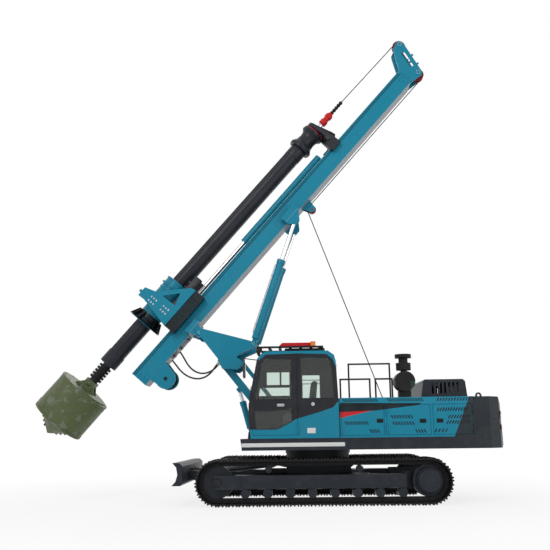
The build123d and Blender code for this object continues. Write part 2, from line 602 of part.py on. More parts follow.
# ---------------------------------------------------------------- winches on the deck
WINCH_X = -1290.0
WINCH_Z = 1640.0
WINCH_R = 230.0
WINCH_HALF = 260.0
WINCH_PIN = 60.0


def winch():
    drum = rod_y(WINCH_X, WINCH_Z, WINCH_R, -WINCH_HALF + 1, WINCH_HALF - 1)
    for y0, y1 in both_sides(WINCH_HALF - 30, WINCH_HALF):
        drum += rod_y(WINCH_X, WINCH_Z, 280, y0, y1)
    drum += rod_y(WINCH_X, WINCH_Z, WINCH_PIN, -WINCH_HALF - 66, WINCH_HALF + 66)
    keep("main_winch_drum", drum)


# ---------------------------------------------------------------- boom parallelogram
def arm_eye(length, width, depth, y, hole=PIN_R + FIT, eye=85.0):
    y0, y1 = sorted((y - width / 2, y + width / 2))
    arm = block(-depth / 2, depth / 2, y0, y1, 0, length)
    arm += rod_y(0, 0, eye, y0, y1) + rod_y(0, length, eye, y0, y1)
    for z in (0, length):
        arm -= rod_y(0, z, hole, y0 - 1, y1 + 1)
    return arm


BOOM_PLACE = along(BOOM_FOOT_X, BOOM_FOOT_Z, BOOM_ANGLE)


def boom():
    place = BOOM_PLACE
    body = arm_eye(BOOM_LENGTH, BOOM_ARM_WIDTH, BOOM_DEPTH, BOOM_ARM_Y)
    body += arm_eye(BOOM_LENGTH, BOOM_ARM_WIDTH, BOOM_DEPTH, -BOOM_ARM_Y)
    eye_z = BOOM_LENGTH * BOOM_CYL_SHARE
    body += rod_y(-30, eye_z, 50, -BOOM_ARM_Y + 10, BOOM_ARM_Y - 10)
    body += rod_y(0, BOOM_LENGTH - 260, 55, -BOOM_ARM_Y + 10, BOOM_ARM_Y - 10)
    for sy in (1, -1):
        for edge in (-54, 38):
            y0, y1 = sorted((sy * (BOOM_CYL_Y + edge), sy * (BOOM_CYL_Y + edge + 16)))
            body += slab([(-30, eye_z - 50), (BOOM_CYL_EYE + 40, eye_z - 50),
                          (BOOM_CYL_EYE + 40, eye_z + 50), (-30, eye_z + 50)], y0, y1)
    keep("boom", place * body)

    rods = [Pos(0, 0, 0) * rod for rod in (
        arm_eye(BOOM_LENGTH, 70, 2 * LINK_R, BOOM_ARM_Y, eye=70.0),
        arm_eye(BOOM_LENGTH, 70, 2 * LINK_R, -BOOM_ARM_Y, eye=70.0))]
    place = along(BOOM_FOOT_X + LINK_DX, BOOM_FOOT_Z + LINK_DZ, BOOM_ANGLE)
    keep("support_rods", *[place * rod for rod in rods])

    tilt = radians(BOOM_ANGLE)
    eye_at = (BOOM_FOOT_X + eye_z * cos(tilt) + BOOM_CYL_EYE * sin(tilt),
              BOOM_FOOT_Z + eye_z * sin(tilt) - BOOM_CYL_EYE * cos(tilt))
    cylinders("boom_cylinder", (BOOM_CYL_X, BOOM_CYL_Z), eye_at, (BOOM_CYL_Y, -BOOM_CYL_Y), BOOM_CYL_R,
              BOOM_ROD_R, BOOM_BARREL, 26, 60)


def cylinders(name, foot, eye, sides, r, rod_r, barrel, pin, width, rod_low=None):
    """A pair of cylinders from foot pins to rod eyes: barrels in one node, rods in another."""
    length = reach(*foot, *eye)
    rod_low = rod_low or length - barrel + 190
    place = along(foot[0], foot[1], raised(*foot, *eye))
    barrels, rods = [], []
    for y in sides:
        body = rod_z(0, y, r, 110, barrel) + rod_y(0, 0, r * 0.8, y - width / 2, y + width / 2)
        body += block(-r * 0.6, r * 0.6, y - width / 2, y + width / 2, 0, 130)
        body += rod_z(0, y, r * 1.12, barrel - 90, barrel)
        body -= rod_y(0, 0, pin + FIT, y - width, y + width)
        body -= rod_z(0, y, rod_r + FIT, 150, barrel + 1)
        barrels.append(place * body)
        rod = rod_z(0, y, rod_r, rod_low, length - 40)
        eye_piece = rod_y(0, length, rod_r * 1.7, y - width / 2, y + width / 2)
        rods.append(place * (rod + eye_piece))
    keep(name + "_barrels", *barrels)
    keep(name + "_rods", *rods)


FRAME_SIDE = [(560, 660), (471, 690), (-620, 395), (-770, 330), (-690, 240), (-470, 150), (-330, 60),
              (-510, -70), (-330, -200), (-30, -175), (60, 30)]


def luffing_frame():
    """Triangle frame between boom and mast, laid out from the boom head pin."""
    place = Pos(BOOM_HEAD_X, 0, BOOM_HEAD_Z)
    half = BOOM_ARM_WIDTH / 2 + RUN / 2
    inner_y = BOOM_ARM_Y + half + SEAT
    outer_y = CYL_Y + 65
    body = None
    for sy in (1, -1):
        for y in (inner_y, outer_y):
            y0, y1 = sorted((sy * y, sy * (y + LUG)))
            plate = slab(FRAME_SIDE, y0, y1)
            body = plate if body is None else body + plate
        y0, y1 = sorted((sy * inner_y, sy * (outer_y + LUG)))
        body += slab([(330, 640), (-480, 425), (-480, 400), (330, 615)], y0, y1)
        body += slab([(-300, 60), (-300, 100), (40, 100), (40, 60)], y0, y1)
        body += rod_y(MAST_PIN_DX, MAST_PIN_DZ, PIN_R, y0, y1)
        body += rod_y(CYL_FOOT_DX, CYL_FOOT_DZ, PIN_R, y0, y1)
        for x, z in ((0, 0), (LINK_DX, LINK_DZ)):
            y0, y1 = sorted((sy * (BOOM_ARM_Y - half), sy * (inner_y + 1)))
            body += rod_y(x, z, PIN_R, y0, y1)
    body += slab([(330, 640), (-480, 425), (-480, 400), (330, 615)], -inner_y - 1, inner_y + 1)
    keep("luffing_frame", place * body)


# ---------------------------------------------------------------- mast
SHEAVE_FRONT = (970.0, MAST_TOP + 630)
SHEAVE_REAR = (200.0, MAST_TOP + 340)
CROWD_X = 655.0
CROWD_ROD_R = 45.0
AUX_X = -70.0
AUX_Z = -1180.0
GUIDE_X = -20.0
GUIDE_Z = 3730.0


def mast():
    half = MAST_WIDTH / 2
    wall = 16.0
    column = block(MAST_BACK, MAST_FRONT - RAIL_DEPTH, -half + 30, half - 30, MAST_LOW, MAST_TOP)
    column -= block(MAST_BACK + wall, MAST_FRONT - RAIL_DEPTH - wall, -half + 30 + wall, half - 30 - wall,
                    MAST_LOW + 40, MAST_TOP - 40)
    for sy in (1, -1):
        y0, y1 = sorted((sy * (half - RAIL_WIDTH), sy * half))
        column += block(MAST_FRONT - 22, MAST_FRONT, y0, y1, MAST_LOW, MAST_TOP)
        y0, y1 = sorted((sy * (half - 50), sy * (half - 30)))
        column += block(MAST_FRONT - RAIL_DEPTH - 5, MAST_FRONT - 10, y0, y1, MAST_LOW, MAST_TOP)
    # hinge lugs and rod brackets at the back
    for sy in (1, -1):
        y0, y1 = sorted((sy * (CYL_Y - 50), sy * (CYL_Y + 50)))
        hinge = rod_y(0, 0, 88, y0, y1) + slab([(-60, 60), (60, -100), (260, -160), (260, 190)], y0, y1)
        column += hinge - rod_y(0, 0, PIN_R + FIT, y0 - 1, y1 + 1)
        y0, y1 = sorted((sy * (half - 40), sy * (CYL_Y + 50)))
        column += block(160, 260, y0, y1, -150, 180)
        for edge in (-EYE_GAP - 14, EYE_GAP):
            y0, y1 = sorted((sy * (CYL_Y + edge), sy * (CYL_Y + edge + 14)))
            cheek = slab([(-40, CYL_PIN_Z - 60), (110, CYL_PIN_Z - 160), (300, CYL_PIN_Z - 160),
                          (300, CYL_PIN_Z + 260), (160, CYL_PIN_Z + 260), (-40, CYL_PIN_Z + 70)], y0, y1)
            column += cheek
        y0, y1 = sorted((sy * (half - 40), sy * (CYL_Y + EYE_GAP + 10)))
        column += block(170, 290, y0, y1, CYL_PIN_Z + 200, CYL_PIN_Z + 258)
        y0, y1 = sorted((sy * (half - 40), sy * (CYL_Y - EYE_GAP - 5)))
        column += block(170, 290, y0, y1, CYL_PIN_Z - 158, CYL_PIN_Z - 100)

    # head frame with its two sheaves
    head = None
    for sy in (1, -1):
        y0, y1 = sorted((sy * 150, sy * 175))
        outline = [(480, MAST_TOP - 60), (400, MAST_TOP + 330), (1010, MAST_TOP + 560),
                   (1060, MAST_TOP + 640), (1030, MAST_TOP + 700), (920, MAST_TOP + 700),
                   (100, MAST_TOP + 420), (90, MAST_TOP + 300), (170, MAST_TOP - 60)]
        plate = slab(outline, y0, y1)
        plate -= slab([(420, MAST_TOP + 60), (340, MAST_TOP + 330), (740, MAST_TOP + 530),
                       (700, MAST_TOP + 560), (270, MAST_TOP + 400)], y0 - 1, y1 + 1)
        head = plate if head is None else head + plate
    head += block(180, 470, -176, 176, MAST_TOP + SEAT, MAST_TOP + 40)
    head -= block(0, 600, -200, 200, MAST_TOP - 100, MAST_TOP + SEAT)
    for x, z in (SHEAVE_FRONT, SHEAVE_REAR):
        head -= rod_y(x, z, 30 + FIT, -200, 200)
    keep("mast_head", ON_MAST * head)
    for name, (x, z) in (("head_sheave_front", SHEAVE_FRONT), ("head_sheave_rear", SHEAVE_REAR)):
        wheel = rod_y(x, z, 150, -60, -30) + rod_y(x, z, 150, 30, 60) + rod_y(x, z, 120, -31, 31)
        wheel += rod_y(x, z, 30, -174, 174)
        keep(name, ON_MAST * wheel)

    # crowd cylinder on the mast face
    low, high = 2180.0, 4790.0
    y = 0.0
    barrel = rod_z(CROWD_X, y, 88, low, high) - rod_z(CROWD_X, y, CROWD_ROD_R + FIT, low - 1, high - 60)
    barrel += block(MAST_FRONT - RAIL_DEPTH + SEAT, CROWD_X - 60, -70, 70, high - 300, high - 100)
    barrel += block(MAST_FRONT - RAIL_DEPTH + SEAT, CROWD_X - 60, -70, 70, low + 100, low + 250)
    keep("crowd_barrel", ON_MAST * barrel)

    frame = None
    for sy in (1, -1):
        y0, y1 = sorted((sy * 210, sy * 240))
        cheek = rod_y(AUX_X, AUX_Z, 215, y0, y1)
        cheek += slab([(AUX_X - 60, AUX_Z + 200), (MAST_BACK - SEAT, AUX_Z + 260),
                       (MAST_BACK - SEAT, AUX_Z - 220), (AUX_X, AUX_Z - 200)], y0, y1)
        frame = cheek if frame is None else frame + cheek
    frame += block(MAST_BACK - 30 - SEAT, MAST_BACK - SEAT, -240, 240, AUX_Z - 200, AUX_Z + 240)
    frame -= rod_y(AUX_X, AUX_Z, 40 + FIT, -300, 300)
    keep("aux_winch_frame", ON_MAST * frame)
    drum = rod_y(AUX_X, AUX_Z, 130, -200, 200) + rod_y(AUX_X, AUX_Z, 185, -200, -180)
    drum += rod_y(AUX_X, AUX_Z, 185, 180, 200) + rod_y(AUX_X, AUX_Z, 40, -244, 244)
    keep("aux_winch_drum", ON_MAST * drum)

    guide = None
    for sy in (1, -1):
        y0, y1 = sorted((sy * 50, sy * 68))
        cheek = slab([(MAST_BACK + 5, GUIDE_Z - 130), (MAST_BACK + 5, GUIDE_Z + 130),
                      (GUIDE_X - 30, GUIDE_Z + 70), (GUIDE_X - 70, GUIDE_Z),
                      (GUIDE_X - 30, GUIDE_Z - 70)], y0, y1)
        guide = cheek if guide is None else guide + cheek
    guide += block(MAST_BACK - 22, MAST_BACK + 5, -68, 68, GUIDE_Z - 130, GUIDE_Z + 130)
    guide -= rod_y(GUIDE_X, GUIDE_Z, 22 + FIT, -100, 100)
    keep("mast", ON_MAST * (column + guide))
    pulley = rod_y(GUIDE_X, GUIDE_Z, 90, -40, 40) + rod_y(GUIDE_X, GUIDE_Z, 22, -70, 70)
    keep("rope_guide_pulley", ON_MAST * pulley)


# ---------------------------------------------------------------- rotary drive and kelly
DRIVE_LOW = -360.0
DRIVE_HIGH = 640.0
BORE_R = 215.0
MOTOR_X = 800.0
MOTOR_Y = 298.0


def drive():
    side = [(1540, -230), (1540, -10), (1270, 80), (1020, 360), (760, 620), (660, 640), (660, -360),
            (670, -360), (1370, -220)]
    body = None
    for sy in (1, -1):
        y0, y1 = sorted((sy * 410, sy * 440))
        plate = slab(side, y0, y1)
        plate -= slab([(1130, 90), (870, 380), (780, 110)], y0 - 1, y1 + 1)
        body = plate if body is None else body + plate
        # runners that wrap the mast rails
        y0, y1 = sorted((sy * (MAST_WIDTH / 2 + RUN), sy * 412))
        body += block(MAST_FRONT - 130, 685, y0, y1, DRIVE_LOW, DRIVE_HIGH)
        y0, y1 = sorted((sy * (MAST_WIDTH / 2 - 40), sy * (MAST_WIDTH / 2 + RUN + 5)))
        body += block(MAST_FRONT - 110, MAST_FRONT - 22 - SLIDE, sorted((sy * (MAST_WIDTH / 2 - 24), sy * (
            MAST_WIDTH / 2 + RUN + 5)))[0], sorted((sy * (MAST_WIDTH / 2 - 24), sy * (
                MAST_WIDTH / 2 + RUN + 5)))[1], DRIVE_LOW, DRIVE_HIGH)
    body += block(MAST_FRONT + SLIDE, MAST_FRONT + 60, -412, 412, DRIVE_LOW, DRIVE_HIGH)
    body -= rod_z(CROWD_X, 0, 110, DRIVE_LOW + 500, DRIVE_HIGH + 1)
    gear = rod_z(KELLY_X, 0, 340, -230, 60) + block(720, KELLY_X, -412, 412, -230, 60)
    body += gear + block(MAST_FRONT + 50, 740, -412, 412, -230, 60)
    body += rod_z(KELLY_X, 0, 250, -400, -220) + rod_z(KELLY_X, 0, 290, 55, 500)
    body += rod_z(KELLY_X, 0, 330, 345, 375) + rod_z(KELLY_X, 0, 305, 490, 515)
    bell = Plane.XZ * make_face(Polyline((250, -380), (265, -480), (310, -560), (405, -605), (395, -615),
                                         (290, -580), (240, -500), (225, -380), close=True))
    body += Pos(KELLY_X, 0, 0) * revolve(bell, Axis.Z)
    body -= rod_z(KELLY_X, 0, BORE_R, -700, 700)
    keep("rotary_drive", ON_MAST * body)
    motors = []
    for sy in (1, -1):
        motor = rod_z(MOTOR_X, sy * MOTOR_Y, 92, 60 + SEAT, 880)
        motors.append(motor + rod_z(MOTOR_X, sy * MOTOR_Y, 104, 60 + SEAT, 160))
    keep("drive_motors", *[ON_MAST * motor for motor in motors])
    rod = rod_z(CROWD_X, 0, CROWD_ROD_R, DRIVE_LOW + 500 + SEAT, 2180 + 900)
    keep("crowd_rod", ON_MAST * rod)


def kelly():
    # guide that runs on the mast rails and carries the kelly head
    half = MAST_WIDTH / 2
    guide = tube_z(KELLY_X, 0, 230, SWIVEL_R + FIT, KELLY_TOP + 60, KELLY_TOP + 150)
    for sy in (1, -1):
        for z0, z1 in ((KELLY_TOP + 60, KELLY_TOP + 150), (KELLY_TOP - 130, KELLY_TOP - 60)):
            y0, y1 = sorted((sy * (half + RUN), sy * (half + 80)))
            guide += block(MAST_FRONT - 90, MAST_FRONT + 120, y0, y1, KELLY_TOP - 130, KELLY_TOP + 150)
        y0, y1 = sorted((sy * (half - 24), sy * (half + RUN + 5)))
        guide += block(MAST_FRONT - 90, MAST_FRONT - 22 - SLIDE, y0, y1, KELLY_TOP - 130, KELLY_TOP + 150)
        y0, y1 = sorted((sy * (half - 100), sy * (half + 60)))
        guide += block(MAST_FRONT + SLIDE, MAST_FRONT + 60, y0, y1, KELLY_TOP - 130, KELLY_TOP - 50)
        arm = Wire.make_polygon([Vector(x, sy * y, KELLY_TOP + 60) for x, y in (
            (MAST_FRONT + 60, half + 20), (MAST_FRONT + 60, half + 80), (MAST_FRONT + 110, half + 80),
            (KELLY_X + 120, 195), (KELLY_X + 50, 130))], close=True)
        guide += extrude(Face(arm), amount=90, dir=(0, 0, 1))
    guide -= rod_z(KELLY_X, 0, SWIVEL_R + FIT, KELLY_TOP + 50, KELLY_TOP + 151)
    keep("kelly_guide", ON_MAST * guide)

    outer = rod_z(KELLY_X, 0, KELLY_R, KELLY_LOW, KELLY_TOP)
    outer += rod_z(KELLY_X, 0, 200, KELLY_LOW, KELLY_LOW + 300)
    drum = Plane.XZ * make_face(Polyline((100, KELLY_TOP - 500), (255, KELLY_TOP - 500),
                                         (265, KELLY_TOP - 420), (205, KELLY_TOP - 330),
                                         (190, KELLY_TOP - 200), (205, KELLY_TOP - 110),
                                         (265, KELLY_TOP - 40), (255, KELLY_TOP + 30),
                                         (100, KELLY_TOP + 30), close=True))
    outer += Pos(KELLY_X, 0, 0) * revolve(drum, Axis.Z)
    outer += rod_z(KELLY_X, 0, SWIVEL_R, KELLY_TOP, KELLY_TOP + 130)
    for i in range(6):
        key = block(KELLY_X - 16, KELLY_X + 16, -KELLY_R - 10, -KELLY_R + 30, KELLY_LOW + 290,
                    KELLY_TOP - 490)
        outer += Pos(KELLY_X, 0, 0) * Rot(0, 0, i * 60) * Pos(-KELLY_X, 0, 0) * key
    outer -= rod_z(KELLY_X, 0, MIDDLE_R + FIT, KELLY_LOW - 1, KELLY_LOW + 200)
    outer -= rod_z(KELLY_X, 0, MIDDLE_R + 10, KELLY_LOW + 200, KELLY_TOP - 60)
    keep("kelly_outer", ON_MAST * outer)
    middle = tube_z(KELLY_X, 0, MIDDLE_R, CORE_R + FIT, KELLY_LOW, KELLY_TOP - 100)
    middle -= rod_z(KELLY_X, 0, CORE_R + 10, KELLY_LOW + 200, KELLY_TOP - 99)
    keep("kelly_middle", ON_MAST * middle)
    shoulder = BUCKET_TOP + SOCKET_HEIGHT + SEAT
    core = rod_z(KELLY_X, 0, CORE_R, shoulder, KELLY_TOP - 140)
    core += block(KELLY_X - STUB / 2, KELLY_X + STUB / 2, -STUB / 2, STUB / 2, BUCKET_TOP - 20, shoulder + 10)
    keep("kelly_core", ON_MAST * core)
    springs = []
    for i in range(5):
        z = KELLY_LOW - 60 - i * 75
        springs.append(tube_z(KELLY_X, 0, 145, CORE_R + SEAT, z - 44, z))
    keep("kelly_spring", *[ON_MAST * ring for ring in springs])

    low = BUCKET_TOP - BUCKET_HEIGHT
    body = tube_z(KELLY_X, 0, BUCKET_R, BUCKET_R - BUCKET_WALL, low, BUCKET_TOP)
    body += rod_z(KELLY_X, 0, BUCKET_R + 8, BUCKET_TOP - 30, BUCKET_TOP + 5)
    body += block(KELLY_X - 120, KELLY_X + 120, -120, 120, BUCKET_TOP, BUCKET_TOP + SOCKET_HEIGHT)
    hole = STUB / 2 + FIT
    body -= block(KELLY_X - hole, KELLY_X + hole, -hole, hole, BUCKET_TOP - 40, BUCKET_TOP + SOCKET_HEIGHT + 1)
    keep("bucket", ON_MAST * body)
    plate = rod_z(KELLY_X, 0, BUCKET_R + 8, low - 45, low - SEAT)
    cone = Plane.XZ * make_face(Polyline((0, low - 40), (430, low - 40), (60, low - CONE_DEPTH),
                                         (0, low - CONE_DEPTH - 40), close=True))
    plate += Pos(KELLY_X, 0, 0) * revolve(cone, Axis.Z)
    keep("bucket_bottom", ON_MAST * plate)


# ---------------------------------------------------------------- record of what is kept where
def build():
    crawler()
    blade()
    cylinders("blade_cylinder", (BLADE_CYL_X, BLADE_CYL_Z), (BLADE_EYE_X, BLADE_EYE_Z),
              (BLADE_CYL_Y, -BLADE_CYL_Y), 55, 30, BLADE_BARREL, BLADE_CYL_PIN, BLADE_CYL_EYE)
    deck()
    cab()
    housings()
    winch()
    boom()
    luffing_frame()
    cylinders("mast_cylinder", (CYL_FOOT_X, CYL_FOOT_Z), mast_point(CYL_PIN_X, CYL_PIN_Z),
              (CYL_Y, -CYL_Y), 82, 40, MAST_BARREL, PIN_R, CYL_EYE_WIDTH, MAST_ROD_LOW)
    mast()
    drive()
    kelly()


build()
boxes = [solid.bounding_box() for solids in NODES.values() for solid in solids]
ORIGIN_X = (min(b.min.X for b in boxes) + max(b.max.X for b in boxes)) / 2
ORIGIN_Y = (min(b.min.Y for b in boxes) + max(b.max.Y for b in boxes)) / 2
os.makedirs("parts", exist_ok=True)
for node, solids in NODES.items():
    placed = [solid.translate(Vector(-ORIGIN_X, -ORIGIN_Y, 0)) for solid in solids]
    export_step(placed[0] if len(placed) == 1 else Compound(placed), "parts/" + node + ".step")
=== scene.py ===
"""Finishes a rotary piling rig: paints, glass, ropes, hoses, seat and fittings on its jointed frame."""
import json
import math

import bmesh
import bpy
from mathutils import Matrix, Vector


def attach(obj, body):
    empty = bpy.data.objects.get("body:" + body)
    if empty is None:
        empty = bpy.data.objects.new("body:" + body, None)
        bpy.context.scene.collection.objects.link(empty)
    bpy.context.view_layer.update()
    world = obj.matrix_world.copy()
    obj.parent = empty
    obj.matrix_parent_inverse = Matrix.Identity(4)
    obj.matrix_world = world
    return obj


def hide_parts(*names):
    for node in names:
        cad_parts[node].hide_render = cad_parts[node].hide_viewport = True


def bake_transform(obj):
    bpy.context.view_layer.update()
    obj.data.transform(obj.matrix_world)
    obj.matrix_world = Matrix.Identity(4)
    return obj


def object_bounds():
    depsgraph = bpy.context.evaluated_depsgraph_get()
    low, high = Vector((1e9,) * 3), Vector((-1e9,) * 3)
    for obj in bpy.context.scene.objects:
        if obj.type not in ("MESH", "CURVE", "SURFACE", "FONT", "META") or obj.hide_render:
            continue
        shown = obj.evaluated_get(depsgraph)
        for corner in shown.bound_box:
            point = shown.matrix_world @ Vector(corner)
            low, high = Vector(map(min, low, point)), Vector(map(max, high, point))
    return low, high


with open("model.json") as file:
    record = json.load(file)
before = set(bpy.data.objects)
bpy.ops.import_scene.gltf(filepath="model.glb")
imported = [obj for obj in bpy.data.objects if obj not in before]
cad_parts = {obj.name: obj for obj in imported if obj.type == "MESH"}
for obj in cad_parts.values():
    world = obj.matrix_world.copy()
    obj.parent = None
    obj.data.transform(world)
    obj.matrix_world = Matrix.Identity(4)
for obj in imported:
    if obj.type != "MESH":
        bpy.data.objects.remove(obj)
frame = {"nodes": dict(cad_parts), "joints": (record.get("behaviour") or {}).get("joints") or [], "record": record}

bl_info = {
    "name": "Rotary piling rig",
    "version": (1, 0, 0),
    "blender": (4, 5, 0),
    "location": "View3D > Sidebar > Piling rig",
    "description": "Paints a tracked rotary piling rig and adds its ropes, hoses, seat and small fittings",
    "category": "Object",
}

CAD_LOW, CAD_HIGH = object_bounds()
NODES = frame["nodes"]
JOINTS = {joint["name"]: joint for joint in frame["joints"]}
MM = 0.001
ACROSS = Vector((0, 1, 0))
AHEAD = Vector((1, 0, 0))
ABOVE = Vector((0, 0, 1))
SLEW_AXIS = Vector(JOINTS["slew"]["pos_m"])
MAST_PIN = Vector(JOINTS["mast_luff"]["pos_m"])
MAST_UP = -Vector(JOINTS["crowd"]["axis"])
MAST_AHEAD = ACROSS.cross(MAST_UP)
HALF_WIDTH = 1450.0         # half the house's width
CAB_OUT = HALF_WIDTH + 10   # outer face of the cab, from the middle plane
CAB_IN = 540.0
CAB_MIDDLE = (CAB_OUT + CAB_IN) / 2
MAST_HALF = 275.0


def house(x, y, z):
    """A point in millimetres from the slewing axis and the ground, as metres in the frame."""
    return Vector((SLEW_AXIS.x + x * MM, SLEW_AXIS.y + y * MM, z * MM))


def mast(x, y, z):
    """A point in millimetres from the mast's pin, x ahead of the mast and z along it, in the frame."""
    return MAST_PIN + MAST_AHEAD * (x * MM) + ACROSS * (y * MM) + MAST_UP * (z * MM)


# ---------------------------------------------------------------- colours and nodes
def linear(text):
    """A linear RGBA colour from an sRGB hex value."""
    values = [int(text[i:i + 2], 16) / 255 for i in (0, 2, 4)]
    return [v / 12.92 if v <= 0.04045 else ((v + 0.055) / 1.055) ** 2.4 for v in values] + [1.0]


def add(tree, kind, *ordered, inputs=None, **settings):
    """One node: its settings, then its inputs in order or by name, each a value, a socket or a node."""
    made = tree.nodes.new(kind)
    for key, value in settings.items():
        setattr(made, key, value)
    sockets = [socket for socket in made.inputs if socket.enabled]
    pairs = list(zip(sockets, ordered))
    pairs += [(next(s for s in sockets if s.name == key), value) for key, value in (inputs or {}).items()]
    for socket, value in pairs:
        if isinstance(value, bpy.types.Node):
            value = next(out for out in value.outputs if out.enabled)
        if isinstance(value, bpy.types.NodeSocket):
            tree.links.new(value, socket)
        elif value is not None:
            socket.default_value = value
    return made


def new_material(name):
    """A material with its tree, its shader and the place on the object, in metres."""
    material = bpy.data.materials.new(name)
    material.use_nodes = True
    tree = material.node_tree
    tree.nodes.clear()
    shader = add(tree, "ShaderNodeBsdfPrincipled")
    output = add(tree, "ShaderNodeOutputMaterial", shader)
    output.is_active_output = True
    place = add(tree, "ShaderNodeTexCoord").outputs["Object"]
    return material, tree, shader, place


def wired(tree, shader, shade=None, gloss=None, bump=None):
    """Links a material's colour, roughness and bump to its shader."""
    ends = (("Base Color", shade, 2), ("Roughness", gloss, 0), ("Normal", bump, 0))
    for name, node, output in ends:
        if node:
            tree.links.new(node.outputs[output], shader.inputs[name])


def linked(name, data):
    """A new object in the scene."""
    item = bpy.data.objects.new(name, data)
    bpy.context.scene.collection.objects.link(item)
    return item


# ---------------------------------------------------------------- painted areas
def outline(at, corners, near=None, far=None):
    """The planes round a convex area of a side view, each a point on it and its inward normal."""
    middle = sum((at(x, 0, z) for x, z in corners), Vector()) / len(corners)
    planes = []
    for a, b in zip(corners, corners[1:] + corners[:1]):
        start, end = at(a[0], 0, a[1]), at(b[0], 0, b[1])
        normal = ACROSS.cross(end - start).normalized()
        planes.append((start, normal if normal.dot(middle - start) > 0 else -normal))
    if near is not None:
        planes.append((at(0, near, 0), ACROSS))
    if far is not None:
        planes.append((at(0, far, 0), -ACROSS))
    return planes


def inside(tree, place, planes):
    """A mask: 1 on the inner side of every plane."""
    least = None
    for point, normal in planes:
        along = add(tree, "ShaderNodeVectorMath", place, tuple(normal), operation="DOT_PRODUCT")
        depth = add(tree, "ShaderNodeMath", along.outputs["Value"], point.dot(normal), operation="SUBTRACT")
        least = add(tree, "ShaderNodeMath", least, depth, operation="MINIMUM") if least else depth
    return add(tree, "ShaderNodeMath", least, 0.0, operation="GREATER_THAN")


def columns(at, line, low):
    """The areas between a level and a line given from the rear to the front."""
    return [outline(at, [a, b, (b[0], low), (a[0], low)]) for a, b in zip(line, line[1:])]


TEAL, CHARCOAL, BLACK = "0A809C", "20262E", "0C0D0F"
CAB_WAIST = [(-420, 1925), (-367, 1918), (-277, 1813), (-6, 1724), (426, 1604), (804, 1412), (1310, 1412),
             (1520, 1380)]
CAB_ROOF_LINE = [(-420, 2560), (-345, 2590), (-291, 2739), (-171, 2836), (389, 2856), (1005, 2840),
                 (1129, 2733), (1300, 2790)]
ROOF_LEVEL = 2960.0
HOUSE_PAINT = [
    (CHARCOAL, [(-2829 - 86, 2070), (-2543, 1209), (-3100, 1209), (-3100, 2070)]),
    (BLACK, [(-404, 1896), (-1953, 1871), (-1928, 1837), (-1012, 1735), (-398, 1720)]),
    ("C81A20", [(-398, 1720), (-1024, 1742), (-395, 1607)]),
]
DRIVE_PAINT_AND_SHADE = [
    # painted shade: black on both sides beside the mast, over the carriage's runner boxes that lie in shadow
    (BLACK, outline(mast, [(400, -380), (656, -380), (656, 660), (400, 660)], MAST_HALF + 4)),
    (BLACK, outline(mast, [(400, -380), (656, -380), (656, 660), (400, 660)], None, -MAST_HALF - 4)),
    (BLACK, outline(mast, [(600, -375), (1700, -375), (1700, -606), (600, -606)])),
]
MAST_PAINT_AND_PAINTED_LIGHT = [
    # painted light: the back face painted grey for how it looks lit, seen from below
    ("8B929A", outline(mast, [(155, -1600), (161.5, -1600), (161.5, 7600), (155, 7600)])),
    ("C3C9CC", outline(mast, [(536, -1570), (545, -1570), (545, 7600), (536, 7600)])),
    # painted shade: a dark teal line in the groove behind the front rail
    ("0A3B47", outline(mast, [(466, -1530), (486, -1530), (486, 7600), (466, 7600)])),
]
# painted shade: dark teal on the head's middle plane, the shade seen through the slot in its plates
HEAD_SLOT_SHADE = [("0B4350", outline(mast, [(200, 7510), (1100, 7510), (1100, 8050), (200, 8050)], -14, 14))]
KELLY_TOP = 5140.0
CORE_PAINT = [("B4181F", outline(mast, [(900, KELLY_TOP + 298), (1400, KELLY_TOP + 298),
                                        (1400, KELLY_TOP + 662), (900, KELLY_TOP + 662)])),
              (BLACK, outline(mast, [(900, KELLY_TOP + 662), (1400, KELLY_TOP + 662),
                                     (1400, KELLY_TOP + 1100), (900, KELLY_TOP + 1100)]))]
OUTER_PAINT = [("A5161D", outline(mast, [(800, KELLY_TOP + 12), (1500, KELLY_TOP + 12),
                                         (1500, KELLY_TOP + 34), (800, KELLY_TOP + 34)]))]
DECK_PAINT = [("B9BEC2", outline(house, [(-500, 1085), (1600, 1085), (1600, 1160), (-500, 1160)],
                                 HALF_WIDTH + 6))]
CLEANER_PAINT = [("24382F", outline(house, [(-1975, 1985), (-1788, 1985), (-1788, 2300), (-1975, 2300)]))]
LAMP_PAINT = [("E6E8E8", outline(house, [(-3700, 1578), (-3400, 1578), (-3400, 1645), (-3700, 1645)]))]


# ---------------------------------------------------------------- finishes
def outer_edges(tree, radius):
    """(a mask of outward edges, the normal softened over them) for welded and pressed plate."""
    soft = add(tree, "ShaderNodeBevel", radius, samples=6)
    flat = add(tree, "ShaderNodeNewGeometry").outputs["Normal"]
    close = add(tree, "ShaderNodeVectorMath", soft, flat, operation="DOT_PRODUCT").outputs["Value"]
    return add(tree, "ShaderNodeMapRange", close, 0.99, 0.80, 0.0, 1.0), soft


